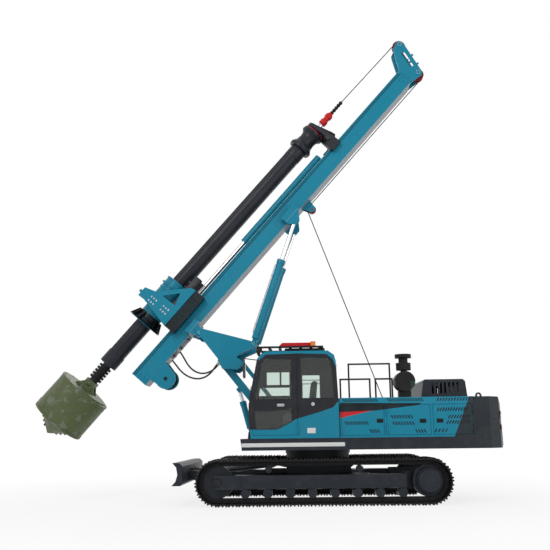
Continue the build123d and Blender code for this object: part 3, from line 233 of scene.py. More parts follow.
def enamel(name, ground, worn, patches=(), rough=0.34, coat=0.06, wear=0.3, dust=0.06):
    """Two-pack enamel sprayed on steel: orange peel, a clouded gloss, thin dust, edges paler, partly rubbed wear
    and partly a painted highlight.
    """
    material, tree, shader, place = new_material(name)
    colour = linear(ground)
    for patch, planes in patches:
        colour = add(tree, "ShaderNodeMix", inside(tree, place, planes), colour, linear(patch),
                     data_type="RGBA")
    cloud = add(tree, "ShaderNodeTexNoise", place, 1.3, 3.0, 0.55)
    lighter = add(tree, "ShaderNodeMapRange", cloud, 0.35, 0.70, 0.0, 0.05)
    shade = add(tree, "ShaderNodeMix", lighter, colour, linear(worn), data_type="RGBA")
    # road dust settles in patches about 200 mm across
    drift = add(tree, "ShaderNodeTexNoise", place, 4.5, 6.0, 0.6)
    dirty = add(tree, "ShaderNodeMapRange", drift, 0.48, 0.74, 0.0, dust)
    shade = add(tree, "ShaderNodeMix", dirty, shade, linear("6E6A62"), data_type="RGBA")
    # outward edges mixed towards the paler colour: partly rubbed wear, partly a painted highlight along the edges
    mask, normal = outer_edges(tree, 0.004)
    fine = add(tree, "ShaderNodeTexNoise", place, 38.0, 5.0, 0.55)
    chips = add(tree, "ShaderNodeMapRange", fine, 0.42, 0.62, 0.15 * wear, wear)
    rubbed = add(tree, "ShaderNodeMath", mask, chips, operation="MULTIPLY")
    shade = add(tree, "ShaderNodeMix", rubbed, shade, linear(worn), data_type="RGBA")
    gloss = add(tree, "ShaderNodeMapRange", fine, 0.3, 0.7, rough - 0.05, rough + 0.10)
    # orange peel is about 1 mm across; drawn 4 mm across so that it shows
    peel = add(tree, "ShaderNodeTexNoise", place, 240.0, 2.0, 0.5)
    bump = add(tree, "ShaderNodeBump", inputs={"Strength": 0.06, "Distance": 0.001, "Height": peel,
                                               "Normal": normal})
    wired(tree, shader, shade, gloss, bump)
    # chalked enamel mirrors less of a bright sky than fresh gloss does
    shader.inputs["Specular IOR Level"].default_value = 0.2
    shader.inputs["Coat Weight"].default_value = coat
    shader.inputs["Coat Roughness"].default_value = 0.12
    return material


def bare_metal(name, colour, stained, rough, stain=0.35, grain=30.0, depth=0.12):
    """Forged, cast or drawn steel without paint: stained unevenly, scaled, brighter where it rubs."""
    material, tree, shader, place = new_material(name)
    patches = add(tree, "ShaderNodeTexNoise", place, 9.0, 6.0, 0.55)
    stains = add(tree, "ShaderNodeMapRange", patches, 0.42, 0.68, 0.0, stain)
    shade = add(tree, "ShaderNodeMix", stains, linear(colour), linear(stained), data_type="RGBA")
    mask, normal = outer_edges(tree, 0.004)
    rubbed = add(tree, "ShaderNodeMath", mask, 0.4, operation="MULTIPLY")
    shade = add(tree, "ShaderNodeMix", rubbed, shade, linear("8C8F93"), data_type="RGBA")
    gloss = add(tree, "ShaderNodeMapRange", patches, 0.35, 0.7, rough, rough + 0.18)
    scale = add(tree, "ShaderNodeTexNoise", place, grain, 4.0, 0.55)
    bump = add(tree, "ShaderNodeBump", inputs={"Strength": depth, "Distance": 0.002, "Height": scale,
                                               "Normal": normal})
    wired(tree, shader, shade, gloss, bump)
    shader.inputs["Metallic"].default_value = 0.85
    return material


def hard_chrome():
    """Ground and chromed rod: a mirror dulled in bands by its oil film."""
    material, tree, shader, place = new_material("hard_chrome_rod")
    shader.inputs["Base Color"].default_value = linear("DADCDE")
    shader.inputs["Metallic"].default_value = 1.0
    film = add(tree, "ShaderNodeTexNoise", place, 14.0, 3.0, 0.5)
    gloss = add(tree, "ShaderNodeMapRange", film, 0.4, 0.65, 0.08, 0.22)
    wired(tree, shader, gloss=gloss)
    return material


def safety_glass():
    """Laminated pane with a grey-green tint and little glare, dulled here and there by a dust haze."""
    material, tree, shader, place = new_material("tinted_safety_glass")
    shader.inputs["Base Color"].default_value = linear("E0EAE5")
    shader.inputs["Transmission Weight"].default_value = 1.0
    shader.inputs["IOR"].default_value = 1.45
    shader.inputs["Specular IOR Level"].default_value = 0.12
    haze = add(tree, "ShaderNodeTexNoise", place, 6.0, 4.0, 0.5)
    gloss = add(tree, "ShaderNodeMapRange", haze, 0.4, 0.7, 0.01, 0.06)
    wired(tree, shader, gloss=gloss)
    return material


def moulded(name, colour, rough, grain=420.0, depth=0.12, clear=0.0, worn="4A4946", patches=()):
    """Moulded plastic or rubber: an even grain, greyed in patches; clear is for lamp lenses."""
    material, tree, shader, place = new_material(name)
    base = linear(colour)
    for patch, planes in patches:
        base = add(tree, "ShaderNodeMix", inside(tree, place, planes), base, linear(patch), data_type="RGBA")
    cloud = add(tree, "ShaderNodeTexNoise", place, 11.0, 3.0, 0.55)
    faded = add(tree, "ShaderNodeMapRange", cloud, 0.4, 0.7, 0.0, 0.0 if clear else 0.25)
    shade = add(tree, "ShaderNodeMix", faded, base, linear(worn), data_type="RGBA")
    skin = add(tree, "ShaderNodeTexNoise", place, grain, 2.0, 0.5)
    bump = add(tree, "ShaderNodeBump", inputs={"Strength": depth, "Distance": 0.0006, "Height": skin})
    wired(tree, shader, shade, bump=bump)
    shader.inputs["Roughness"].default_value = rough
    shader.inputs["Transmission Weight"].default_value = clear
    return material


def woven_cloth():
    """Coarse seat cloth: threads 3 mm apart, drawn 8 mm apart so that they show, matt with a soft sheen."""
    material, tree, shader, place = new_material("woven_seat_cloth")
    threads = add(tree, "ShaderNodeTexWave", place, 120.0, 1.0, wave_type="BANDS",
                  bands_direction="DIAGONAL").outputs["Fac"]
    shade = add(tree, "ShaderNodeMix", threads, linear("1B1C20"), linear("34363C"), data_type="RGBA")
    bump = add(tree, "ShaderNodeBump", inputs={"Strength": 0.3, "Distance": 0.001, "Height": threads})
    wired(tree, shader, shade, bump=bump)
    shader.inputs["Roughness"].default_value = 0.9
    shader.inputs["Sheen Weight"].default_value = 0.3
    return material


def scraped_enamel():
    """Brushed olive enamel on the bucket, scraped to grey steel by soil in patches and at its edges."""
    material, tree, shader, place = new_material("scraped_olive_enamel")
    scrape = add(tree, "ShaderNodeTexNoise", place, 5.5, 8.0, 0.62)
    fine = add(tree, "ShaderNodeTexNoise", place, 60.0, 6.0, 0.6)
    mask, normal = outer_edges(tree, 0.006)
    bare = add(tree, "ShaderNodeMapRange", scrape, 0.53, 0.60, 0.0, 0.75)
    rubbed = add(tree, "ShaderNodeMath", mask, 0.8, operation="MULTIPLY")
    both = add(tree, "ShaderNodeMath", bare, rubbed, operation="ADD", use_clamp=True)
    ragged = add(tree, "ShaderNodeMapRange", fine, 0.35, 0.55, 0.3, 1.0)
    worn = add(tree, "ShaderNodeMath", both, ragged, operation="MULTIPLY")
    cloud = add(tree, "ShaderNodeTexNoise", place, 2.2, 3.0, 0.55)
    streaks = add(tree, "ShaderNodeMapRange", cloud, 0.35, 0.7, 0.0, 0.6)
    shade = add(tree, "ShaderNodeMix", streaks, linear("525E33"), linear("404B2A"), data_type="RGBA")
    shade = add(tree, "ShaderNodeMix", worn, shade, linear("7C8078"), data_type="RGBA")
    gloss = add(tree, "ShaderNodeMapRange", worn, 0.0, 1.0, 0.48, 0.62)
    bump = add(tree, "ShaderNodeBump", inputs={"Strength": 0.25, "Distance": 0.002, "Height": fine,
                                               "Normal": normal})
    wired(tree, shader, shade, gloss, bump)
    return material


class RigFinish(bpy.types.PropertyGroup):
    body: bpy.props.StringProperty(name="Body colour", description="sRGB hex of the blue-green enamel",
                                   default=TEAL)
    chassis: bpy.props.StringProperty(name="Chassis colour", description="sRGB hex of the dark enamel",
                                      default=CHARCOAL)
    kelly: bpy.props.StringProperty(name="Kelly colour", description="sRGB hex of the kelly's enamel",
                                    default="1E222A")
    signal: bpy.props.StringProperty(name="Signal colour", description="sRGB hex of the red enamel",
                                     default="C8161E")


PALE_TEAL, PALE_GREY = "3FA6BC", "50565E"


def finishes(finish):
    """Every finish: the material and the frame's material slot that it answers to."""
    waist = [(finish.body, planes) for planes in columns(house, CAB_WAIST, 1200)]
    roof = [(finish.body, planes) for planes in columns(house, CAB_ROOF_LINE, ROOF_LEVEL)]
    stripes = [(colour, outline(house, corners)) for colour, corners in HOUSE_PAINT]
    return {
        "body": (enamel("teal_enamel", finish.body, PALE_TEAL), "body_paint"),
        "cab": (enamel("cab_enamel", "1D1F25", PALE_GREY, waist + roof), "body_paint"),
        "house": (enamel("striped_enamel", finish.body, PALE_TEAL, stripes), "body_paint"),
        "mast": (enamel("mast_enamel_and_painted_light", finish.body, PALE_TEAL, MAST_PAINT_AND_PAINTED_LIGHT), "body_paint"),
        "head": (enamel("mast_head_enamel_and_slot_shade", finish.body, PALE_TEAL, HEAD_SLOT_SHADE), "body_paint"),
        "drive": (enamel("drive_enamel_and_painted_shade", finish.body, PALE_TEAL, DRIVE_PAINT_AND_SHADE), "body_paint"),
        "chassis": (enamel("chassis_enamel", finish.chassis, PALE_GREY, rough=0.42, coat=0.04, dust=0.1),
                    "chassis_paint"),
        "deck": (enamel("deck_enamel", finish.chassis, PALE_GREY, DECK_PAINT, 0.42, 0.04, dust=0.1),
                 "chassis_paint"),
        "kelly": (enamel("kelly_enamel", finish.kelly, "6A6E76", rough=0.38, wear=0.45), "kelly_paint"),
        "kelly_core": (enamel("kelly_core_enamel", finish.kelly, "6A6E76", CORE_PAINT), "kelly_paint"),
        "kelly_outer": (enamel("kelly_outer_enamel", finish.kelly, "6A6E76", OUTER_PAINT, 0.38),
                        "kelly_paint"),
        "signal": (enamel("red_enamel", finish.signal, "D8545A", rough=0.35), "red_paint"),
        "sheave": (enamel("dark_red_enamel", "7E161C", "A8484C", rough=0.45), "red_paint"),
        "black": (enamel("black_powder_coat", "0D0E10", "4A4C50", rough=0.45, coat=0.0), "black_paint"),
        "cleaner": (enamel("air_cleaner_coat", "0D0E10", "4A4C50", CLEANER_PAINT, 0.45, 0.0), "black_paint"),
        "plate": (enamel("blank_plate", "DADCDA", "F2F2F0", rough=0.5, coat=0.0, wear=0.1), "black_paint"),
        "track": (bare_metal("forged_track_steel", "222326", "3A322B", 0.55, 0.35), "track_steel"),
        "iron": (bare_metal("grey_cast_iron", "4A4D50", "3C342E", 0.6, 0.3, 60.0), "engine_iron"),
        "steel": (bare_metal("zinc_plated_steel", "B4B8BC", "7E7F7E", 0.35, 0.3, 90.0, 0.05),
                  "machined_steel"),
        "rope": (bare_metal("greased_wire_rope", "2E2E30", "1C1C1E", 0.45, 0.5, 90.0), "machined_steel"),
        "chrome": (hard_chrome(), "chrome_rod"),
        "glass": (safety_glass(), "cab_glazing"),
        "cloth": (woven_cloth(), "seat_plastic"),
        "bucket": (scraped_enamel(), "bucket_paint"),
        "rubber": (moulded("hose_rubber", "121315", 0.55, 300.0, 0.10), "black_plastic"),
        "plastic": (moulded("black_abs", "1B1C1E", 0.42), "black_plastic"),
        "amber": (moulded("amber_lens", "F28A1A", 0.18, 90.0, 0.3, 0.45), "amber_lens"),
        "red_lens": (moulded("red_lens", "B8141C", 0.18, 90.0, 0.3, 0.2, patches=LAMP_PAINT), "amber_lens"),
        "clear_lens": (moulded("clear_lens", "E8ECEE", 0.12, 90.0, 0.3, 0.6), "cab_glazing"),
    }


# finish of a whole material slot, and of single nodes that differ from their slot
SLOT_FINISH = {
    "chassis_paint": "chassis", "body_paint": "body", "track_steel": "track", "machined_steel": "steel",
    "chrome_rod": "chrome", "cab_glazing": "glass", "seat_plastic": "cloth", "black_paint": "black",
    "red_paint": "signal", "amber_lens": "amber", "black_plastic": "plastic", "engine_iron": "iron",
    "counterweight_iron": "chassis", "kelly_paint": "kelly", "spring_steel": "black",
    "bucket_paint": "bucket",
}
NODE_FINISH = {
    "cab_shell": "cab", "cab_door": "cab", "housings": "house", "mast": "mast", "mast_head": "head",
    "rotary_drive": "drive", "deck_frame": "deck", "kelly_core": "kelly_core", "kelly_outer": "kelly_outer",
    "air_cleaner": "cleaner", "head_sheave_front": "sheave", "head_sheave_rear": "sheave",
    "rope_guide_pulley": "sheave", "aux_winch_drum": "black",
}
FINISHES = {}


class RIG_OT_paint(bpy.types.Operator):
    """Gives every node of the frame its finish"""
    bl_idname = "rig.paint"
    bl_label = "Paint the rig"

    def execute(self, context):
        FINISHES.update(finishes(context.scene.rig_finish))
        slots = {part["node"]: part["material_slot"] for part in frame["record"]["subparts"]}
        for name, item in NODES.items():
            finish = NODE_FINISH.get(name, "house" if name.startswith("service_door") else None)
            item.data.materials.clear()
            item.data.materials.append(FINISHES[finish or SLOT_FINISH[slots[name]]][0])
        return {"FINISHED"}


# ---------------------------------------------------------------- shapes
class Form:
    """The mesh of one piece, from solids given in millimetres at one place of the rig."""

    def __init__(self, at):
        self.at = at
        self.mesh = bmesh.new()

    def skin(self, rings):
        """A closed solid through rings of points, each with as many points as the first."""
        rows = [[self.mesh.verts.new(self.at(*point)) for point in ring] for ring in rings]
        for low, high in zip(rows, rows[1:]):
            for i, vertex in enumerate(low):
                after = (i + 1) % len(low)
                self.mesh.faces.new((vertex, low[after], high[after], high[i]))
        self.mesh.faces.new(rows[0][::-1])
        self.mesh.faces.new(rows[-1])

    def prism(self, corners, y0, y1):
        self.skin([[(x, y, z) for x, z in corners] for y in (y0, y1)])

    def plan(self, corners, z0, z1):
        self.skin([[(x, y, z) for x, y in corners] for z in (z0, z1)])

    def block(self, x0, x1, y0, y1, z0, z1):
        self.prism([(x0, z0), (x1, z0), (x1, z1), (x0, z1)], y0, y1)

    def sweep(self, points, radii, sides=16):
        """A round bar along points, with one radius or one for each point."""
        points = [Vector(point) for point in points]
        if not isinstance(radii, (list, tuple)):
            radii = [radii] * len(points)
        run = (points[1] - points[0]).normalized()
        out = run.orthogonal().normalized()
        rings = []
        for i, (point, radius) in enumerate(zip(points, radii)):
            before, after = points[max(i - 1, 0)], points[min(i + 1, len(points) - 1)]
            run = (after - before).normalized() if (after - before).length > 1e-6 else run
            out = (out - run * out.dot(run)).normalized()
            side = run.cross(out)
            rings.append([point + (out * math.cos(a) + side * math.sin(a)) * radius
                          for a in (math.tau * k / sides for k in range(sides))])
        self.skin(rings)

    def turned(self, foot, axis, profile, sides=24):
        """A solid turned about an axis, from its profile as radius and height."""
        foot, axis = Vector(foot), Vector(axis).normalized()
        out = axis.orthogonal().normalized()
        side = axis.cross(out)
        self.skin([[foot + axis * height + (out * math.cos(a) + side * math.sin(a)) * max(radius, 0.05)
                    for a in (math.tau * k / sides for k in range(sides))] for radius, height in profile])

    def fit(self, name, finish, body, bevel=0.0, smooth=38.0):
        """The piece itself, its edges rounded by a bevel in millimetres, painted, and riding on its body."""
        bmesh.ops.recalc_face_normals(self.mesh, faces=self.mesh.faces)
        mesh = bpy.data.meshes.new(name)
        self.mesh.to_mesh(mesh)
        self.mesh.free()
        item = linked(name, mesh)
        if bevel:
            rounding = item.modifiers.new("rounded_edges", "BEVEL")
            rounding.width, rounding.segments = bevel * MM, 2
            rounding.limit_method, rounding.angle_limit = "ANGLE", math.radians(smooth)
            item = settled(item)
        return dressed(item, finish, body, smooth)


def settled(item):
    """Turns an object with live modifiers into a plain mesh."""
    whole = bpy.data.meshes.new_from_object(item.evaluated_get(bpy.context.evaluated_depsgraph_get()))
    item.modifiers.clear()
    item.data = whole
    return item


def dressed(item, finish, body, smooth=38.0):
    """Paints a piece and sets it on its body, if it is given one."""
    material, slot = FINISHES[finish]
    item.data.materials.clear()
    item.data.materials.append(material)
    item.data.shade_smooth()
    item.data.set_sharp_from_angle(angle=math.radians(smooth))
    if body:
        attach(item, body)
    return item


# ---------------------------------------------------------------- repeated pieces
def node_group(name, sockets):
    """An empty geometry tree with named inputs."""
    tree = bpy.data.node_groups.new(name, "GeometryNodeTree")
    tree.interface.new_socket("Geometry", in_out="INPUT", socket_type="NodeSocketGeometry")
    for title, kind in sockets:
        tree.interface.new_socket(title, in_out="INPUT", socket_type=kind)
    tree.interface.new_socket("Geometry", in_out="OUTPUT", socket_type="NodeSocketGeometry")
    return tree


def grown(item, tree, values):
    """Runs a geometry tree on an object, with its inputs set by their identifiers."""
    modifier = item.modifiers.new(tree.name, "NODES")
    modifier.node_group = tree
    for socket in tree.interface.items_tree:
        if socket.in_out == "INPUT" and socket.name in values:
            modifier[socket.identifier] = values[socket.name]
    return settled(item)


def scatter_tree(name, parts, sockets):
    """A tree that sets one shape on every point, turned by the point's own attribute."""
    tree = node_group(name, sockets)
    given = add(tree, "NodeGroupInput")
    turn = add(tree, "GeometryNodeInputNamedAttribute", "turn", data_type="FLOAT_VECTOR")
    spin = add(tree, "FunctionNodeEulerToRotation", turn)
    placed = add(tree, "GeometryNodeInstanceOnPoints", given.outputs["Geometry"],
                 inputs={"Instance": parts(tree, given), "Rotation": spin})
    whole = add(tree, "GeometryNodeRealizeInstances", placed)
    painted = add(tree, "GeometryNodeSetMaterial", whole, None, given.outputs["Finish"])
    add(tree, "NodeGroupOutput", painted)
    return tree


def bolt_head(tree, given):
    """A hexagonal head on a washer, lying on the point's own XY plane."""
    head = add(tree, "GeometryNodeMeshCylinder", 6, 1, 1, given.outputs["Half width"],
               given.outputs["Height"])
    middle = add(tree, "ShaderNodeMath", given.outputs["Height"], 0.5, operation="MULTIPLY")
    raised = add(tree, "ShaderNodeCombineXYZ", inputs={"Z": middle})
    head = add(tree, "GeometryNodeTransform", head, raised)
    wide = add(tree, "ShaderNodeMath", given.outputs["Half width"], 1.35, operation="MULTIPLY")
    thin = add(tree, "ShaderNodeMath", given.outputs["Height"], 0.4, operation="MULTIPLY")
    washer = add(tree, "GeometryNodeMeshCylinder", 12, 1, 1, wide, thin)
    both = add(tree, "GeometryNodeJoinGeometry")
    for part in (head, washer):
        tree.links.new(part.outputs[0], both.inputs[0])
    return both


def chain_link(tree, given):
    """One link of a track chain: a long plate, with the head of a pin and of its bush."""
    both = add(tree, "GeometryNodeJoinGeometry")
    size = add(tree, "ShaderNodeCombineXYZ", given.outputs["Length"], given.outputs["Thickness"],
               given.outputs["Depth"])
    plate = add(tree, "GeometryNodeMeshCube", size)
    tree.links.new(plate.outputs[0], both.inputs[0])
    round_r = add(tree, "ShaderNodeMath", given.outputs["Depth"], 0.36, operation="MULTIPLY")
    proud = add(tree, "ShaderNodeMath", given.outputs["Thickness"], 2.0, operation="MULTIPLY")
    head = add(tree, "GeometryNodeMeshCylinder", 10, 1, 1, round_r, proud)
    reach = add(tree, "ShaderNodeMath", given.outputs["Length"], 0.5, operation="MULTIPLY")
    shift = add(tree, "ShaderNodeCombineXYZ", reach)
    head = add(tree, "GeometryNodeTransform", head, shift, (math.pi / 2, 0, 0))
    tree.links.new(head.outputs[0], both.inputs[0])
    return both


def slot_plate(tree, given):
    """A flat dark blade that shuts one louvre slot from behind."""
    size = add(tree, "ShaderNodeCombineXYZ", given.outputs["Length"], given.outputs["Thickness"],
               given.outputs["Depth"])
    return add(tree, "GeometryNodeMeshCube", size)


BOLT_SOCKETS = (("Half width", "NodeSocketFloat"), ("Height", "NodeSocketFloat"),
                ("Finish", "NodeSocketMaterial"))
LINK_SOCKETS = (("Length", "NodeSocketFloat"), ("Depth", "NodeSocketFloat"),
                ("Thickness", "NodeSocketFloat"), ("Finish", "NodeSocketMaterial"))
TREES = {}


def scatter(name, kind, body, finish, rows, **sizes):
    """One mesh of like shapes: rows are points in the frame and the turns of the shapes on them."""
    if kind not in TREES:
        parts, sockets = {"bolt": (bolt_head, BOLT_SOCKETS), "link": (chain_link, LINK_SOCKETS),
                          "slot": (slot_plate, LINK_SOCKETS)}[kind]
        TREES[kind] = scatter_tree(kind, parts, sockets)
    mesh = bpy.data.meshes.new(name)
    mesh.from_pydata([tuple(point) for point, _ in rows], [], [])
    turns = mesh.attributes.new("turn", "FLOAT_VECTOR", "POINT")
    turns.data.foreach_set("vector", [value for _, turn in rows for value in turn])
    item = linked(name, mesh)
    values = {key.replace("_", " ").capitalize(): value for key, value in sizes.items()}
    values["Finish"] = FINISHES[finish][0]
    return dressed(grown(item, TREES[kind], values), finish, body, 30.0)


def facing(out):
    """The turn that stands a shape's Z axis along a direction."""
    return tuple(Vector(out).to_track_quat("Z", "Y").to_euler())


def bolts(name, body, rows, width=30.0, finish="steel"):
    """Hexagonal bolts: rows are their seats in the frame and the way that their heads look."""
    turned_rows = [(point, facing(out)) for point, out in rows]
    return scatter(name, "bolt", body, finish, turned_rows, half_width=width / 2 * MM,
                   height=width * 0.45 * MM)


def ring(at, centre, radius, count, start=0.0):
    """Points of a bolt circle in a side view."""
    x, y, z = centre
    angles = [math.radians(start) + math.tau * i / count for i in range(count)]
    return [at(x + radius * math.cos(a), y, z + radius * math.sin(a)) for a in angles]


# ---------------------------------------------------------------- stage, then hoses
class RigStage(bpy.types.PropertyGroup):
    lens: bpy.props.FloatProperty(name="Lens", description="Focal length in millimetres", default=47.13)
    eye: bpy.props.FloatVectorProperty(name="Camera", description="Camera's place, from the slewing axis",
                                       default=(0.44, 15.5, 1.29), unit="LENGTH")
    pitch: bpy.props.FloatProperty(name="Pitch", description="Camera's tilt above the horizontal",
                                   default=math.radians(12.6), subtype="ANGLE")
    yaw: bpy.props.FloatProperty(name="Yaw", description="Camera's turn towards the rig's front",
                                 default=math.radians(1.5), subtype="ANGLE")
    roll: bpy.props.FloatProperty(name="Roll", description="Camera's roll about its own axis",
                                  default=math.radians(0.7), subtype="ANGLE")
    power: bpy.props.FloatProperty(name="Key power", description="Power of the key lamp", default=950,
                                   unit="POWER")


# name, place from the middle of the rig, size, share of the key lamp's power
LAMPS = (
    ("key", (6.0, 14.0, 9.0), 8.0, 1.0),
    ("fill", (-10.0, 12.0, 2.0), 9.0, 0.4),
    ("rear", (0.0, -14.0, 8.0), 9.0, 0.5),
)
SHADOW_NEAR, SHADOW_FAR = 4.0, 11.0


def camera_turn(setup):
    """The camera's axes, from its turn, tilt and roll."""
    level_share = math.cos(setup.pitch)
    ahead = Vector((math.sin(setup.yaw) * level_share, -math.cos(setup.yaw) * level_share,
                    math.sin(setup.pitch)))
    level = ahead.cross(ABOVE).normalized()
    above = level.cross(ahead)
    right = level * math.cos(setup.roll) - above * math.sin(setup.roll)
    upward = level * math.sin(setup.roll) + above * math.cos(setup.roll)
    return Matrix((right, upward, -ahead)).transposed().to_4x4()


def studio_floor():
    """Pale floor: seen plain white far off, it keeps the rig's shadow near it."""
    mesh = bpy.data.meshes.new("floor")
    reach = 60.0
    mesh.from_pydata([(-reach, -reach, 0), (reach, -reach, 0), (reach, reach, 0), (-reach, reach, 0)], [],
                     [(0, 1, 2, 3)])
    floor = linked("floor", mesh)
    material, tree, shader, place = new_material("studio_floor")
    shader.inputs["Base Color"].default_value = linear("F4F4F4")
    shader.inputs["Roughness"].default_value = 0.9
    shader.inputs["Specular IOR Level"].default_value = 0.1
    away = add(tree, "ShaderNodeVectorMath", place, operation="LENGTH").outputs["Value"]
    far = add(tree, "ShaderNodeMapRange", away, SHADOW_NEAR, SHADOW_FAR, 0.80, 1.0)
    share = add(tree, "ShaderNodeMath", seen_rays(tree), far, operation="MULTIPLY")
    plain = add(tree, "ShaderNodeEmission", (1, 1, 1, 1), 1.0)
    both = add(tree, "ShaderNodeMixShader", share, shader, plain)
    output = next(node for node in tree.nodes if node.type == "OUTPUT_MATERIAL")
    tree.links.new(both.outputs[0], output.inputs["Surface"])
    floor.data.materials.append(material)


def seen_rays(tree):
    """1 for the rays that show a background: from the camera, off gloss and through glass."""
    path = add(tree, "ShaderNodeLightPath")
    seen = add(tree, "ShaderNodeMath", path.outputs["Is Camera Ray"], path.outputs["Is Glossy Ray"],
               operation="ADD", use_clamp=True)
    return add(tree, "ShaderNodeMath", seen, path.outputs["Is Transmission Ray"], operation="ADD",
               use_clamp=True)


class RIG_OT_stage(bpy.types.Operator):
    """Sets the camera, the pale floor and the studio light"""
    bl_idname = "rig.stage"
    bl_label = "Set the stage"

    def execute(self, context):
        scene, setup = context.scene, context.scene.rig_stage
        data = bpy.data.cameras.new("side_view")
        data.lens, data.sensor_width, data.clip_end = setup.lens, 36.0, 500.0
        camera = linked("side_view", data)
        eye = Vector(setup.eye) + Vector((SLEW_AXIS.x, SLEW_AXIS.y, 0))
        camera.matrix_world = Matrix.Translation(eye) @ camera_turn(setup)
        scene.camera = camera
        studio_floor()

        world = bpy.data.worlds.new("studio")
        scene.world = world
        world.use_nodes = True
        tree = world.node_tree
        tree.nodes.clear()
        strength = add(tree, "ShaderNodeMapRange", seen_rays(tree), 0.0, 1.0, 0.5, 1.0)
        light = add(tree, "ShaderNodeBackground", (1, 1, 1, 1), strength)
        add(tree, "ShaderNodeOutputWorld", light)

        middle = (CAD_LOW + CAD_HIGH) / 2
        for name, place, size, share in LAMPS:
            data = bpy.data.lights.new(name, "AREA")
            data.shape, data.size, data.energy = "SQUARE", size, setup.power * share
            lamp = linked(name, data)
            lamp.location = middle + Vector(place)
            lamp.rotation_euler = (-Vector(place)).to_track_quat("-Z", "Y").to_euler()
        scene.view_settings.view_transform = "Standard"
        return {"FINISHED"}


HOSE_R = 18.0
# name, route from the mast's back down and across to a side plate of the luffing frame
HOSES = (
    ("hose_inner", [(2949, 150, 3120), (2895, 150, 3073), (2820, 160, 2960), (2730, 180, 2800),
                    (2600, 215, 2660), (2430, 250, 2590), (2260, 280, 2610), (2130, 300, 2690),
                    (2062, 303, 2765), (2014, 303, 2798)]),
    ("hose_outer", [(3107, 200, 2939), (3053, 200, 2892), (2970, 205, 2790), (2860, 225, 2650),
                    (2700, 270, 2530), (2500, 340, 2470), (2320, 410, 2500), (2180, 460, 2600),
                    (2090, 475, 2730), (2023, 475, 2818)]),
)
FERRULE = 75.0


def hose(name, route):
    """A hanging hydraulic hose, with a crimped ferrule on each end."""
    points = [house(*point) for point in route]
    data = bpy.data.curves.new(name + "_run", "CURVE")
    data.dimensions = "3D"
    spline = data.splines.new("NURBS")
    spline.points.add(len(points) - 1)
    for knot, point in zip(spline.points, points):
        knot.co = (*point, 1.0)
    spline.order_u, spline.use_endpoint_u, spline.resolution_u = 3, True, 16
    item = linked(name + "_run", data)
    line = bpy.data.meshes.new_from_object(item.evaluated_get(bpy.context.evaluated_depsgraph_get()))
    data.bevel_depth, data.bevel_resolution, data.use_fill_caps = HOSE_R * MM, 5, True
    skin = bpy.data.meshes.new_from_object(item.evaluated_get(bpy.context.evaluated_depsgraph_get()))
    bpy.data.objects.remove(item)
    tube = linked(name + "_line", skin)
    dressed(tube, "rubber", None)
    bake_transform(tube)
    for end, before, body in ((route[0], route[1], "mast"), (route[-1], route[-2], "luffing_frame")):
        ferrule = Form(house)
        run = (Vector(before) - Vector(end)).normalized()
        steps = [(23, 0), (23, 8), (21, 10), (22, FERRULE * 0.3), (20.5, FERRULE * 0.35),
                 (22, FERRULE * 0.6), (20.5, FERRULE * 0.65), (22, FERRULE * 0.95), (19, FERRULE)]
        ferrule.turned(end, run, steps)
        ferrule.fit(name + "_" + body + "_ferrule", "steel", body)


class RIG_OT_hoses(bpy.types.Operator):
    """Hangs the two hoses between the mast and its luffing frame"""
    bl_idname = "rig.hoses"
    bl_label = "Hang the hoses"

    def execute(self, context):
        for name, route in HOSES:
            hose(name, route)
        return {"FINISHED"}


# ---------------------------------------------------------------- ropes and winches
def as_is(x, y, z):
    return Vector((x, y, z))


ROPE_R = 11.0
STRANDS = 6
LAY = 0.15                  # metres of rope for one turn of its strands
STEP = 0.018


def even(points, step):
    """The same line with its points a step apart."""
    spaced, carried = [points[0]], 0.0
    for a, b in zip(points, points[1:]):
        length = (b - a).length
        while carried + step <= length:
            carried += step
            spaced.append(a.lerp(b, carried / length))
        carried -= length
    return spaced + [points[-1]]


def rope(name, body, line):
    """Wire rope along a line in the middle plane: six strands laid round each other."""
    line = even(line, STEP)
    form = Form(as_is)
    for strand in range(STRANDS):
        run = []
        for i, point in enumerate(line):
            ahead = (line[min(i + 1, len(line) - 1)] - line[max(i - 1, 0)]).normalized()
            angle = math.tau * (strand / STRANDS + i * STEP / LAY)
            off = ACROSS * math.cos(angle) + ACROSS.cross(ahead) * math.sin(angle)
            run.append(point + off * (ROPE_R * 0.6 * MM))
        form.sweep(run, ROPE_R * 0.42 * MM, 5)
    return form.fit(name, "rope", body, smooth=75.0)


def arc(at, centre, radius, first, last, count=24):
    """Points of an arc in a side view, from one angle to another."""
    angles = [math.radians(first + (last - first) * i / count) for i in range(count + 1)]
    return [at(centre[0] + radius * math.cos(a), 0, centre[1] + radius * math.sin(a)) for a in angles]


SHEAVE_FRONT, SHEAVE_REAR, SHEAVE_ROPE_R = (970.0, 8110.0), (200.0, 7820.0), 131.0
GUIDE, GUIDE_ROPE_R = (-20.0, 3730.0), 101.0
WINCH, WINCH_ROPE_R = (-1290.0, 1640.0), 241.0
LINK_TOP = (1130.0, 6190.0)
# degrees round the head's sheaves where the rope meets the front one, and where it goes over to the rear
ROPE_ON, ROPE_OVER = 0.9, 110.6


def crossed(centre, radius, far_centre, far_radius):
    """Ends of the straight rope that crosses from the front of one wheel to the rear of another."""
    reach = far_centre - centre
    lean = math.asin((radius + far_radius) * MM / reach.length)
    run = Matrix.Rotation(lean, 3, "Y") @ reach.normalized()
    side = run.cross(ACROSS)
    return centre + side * (radius * MM), far_centre - side * (far_radius * MM)


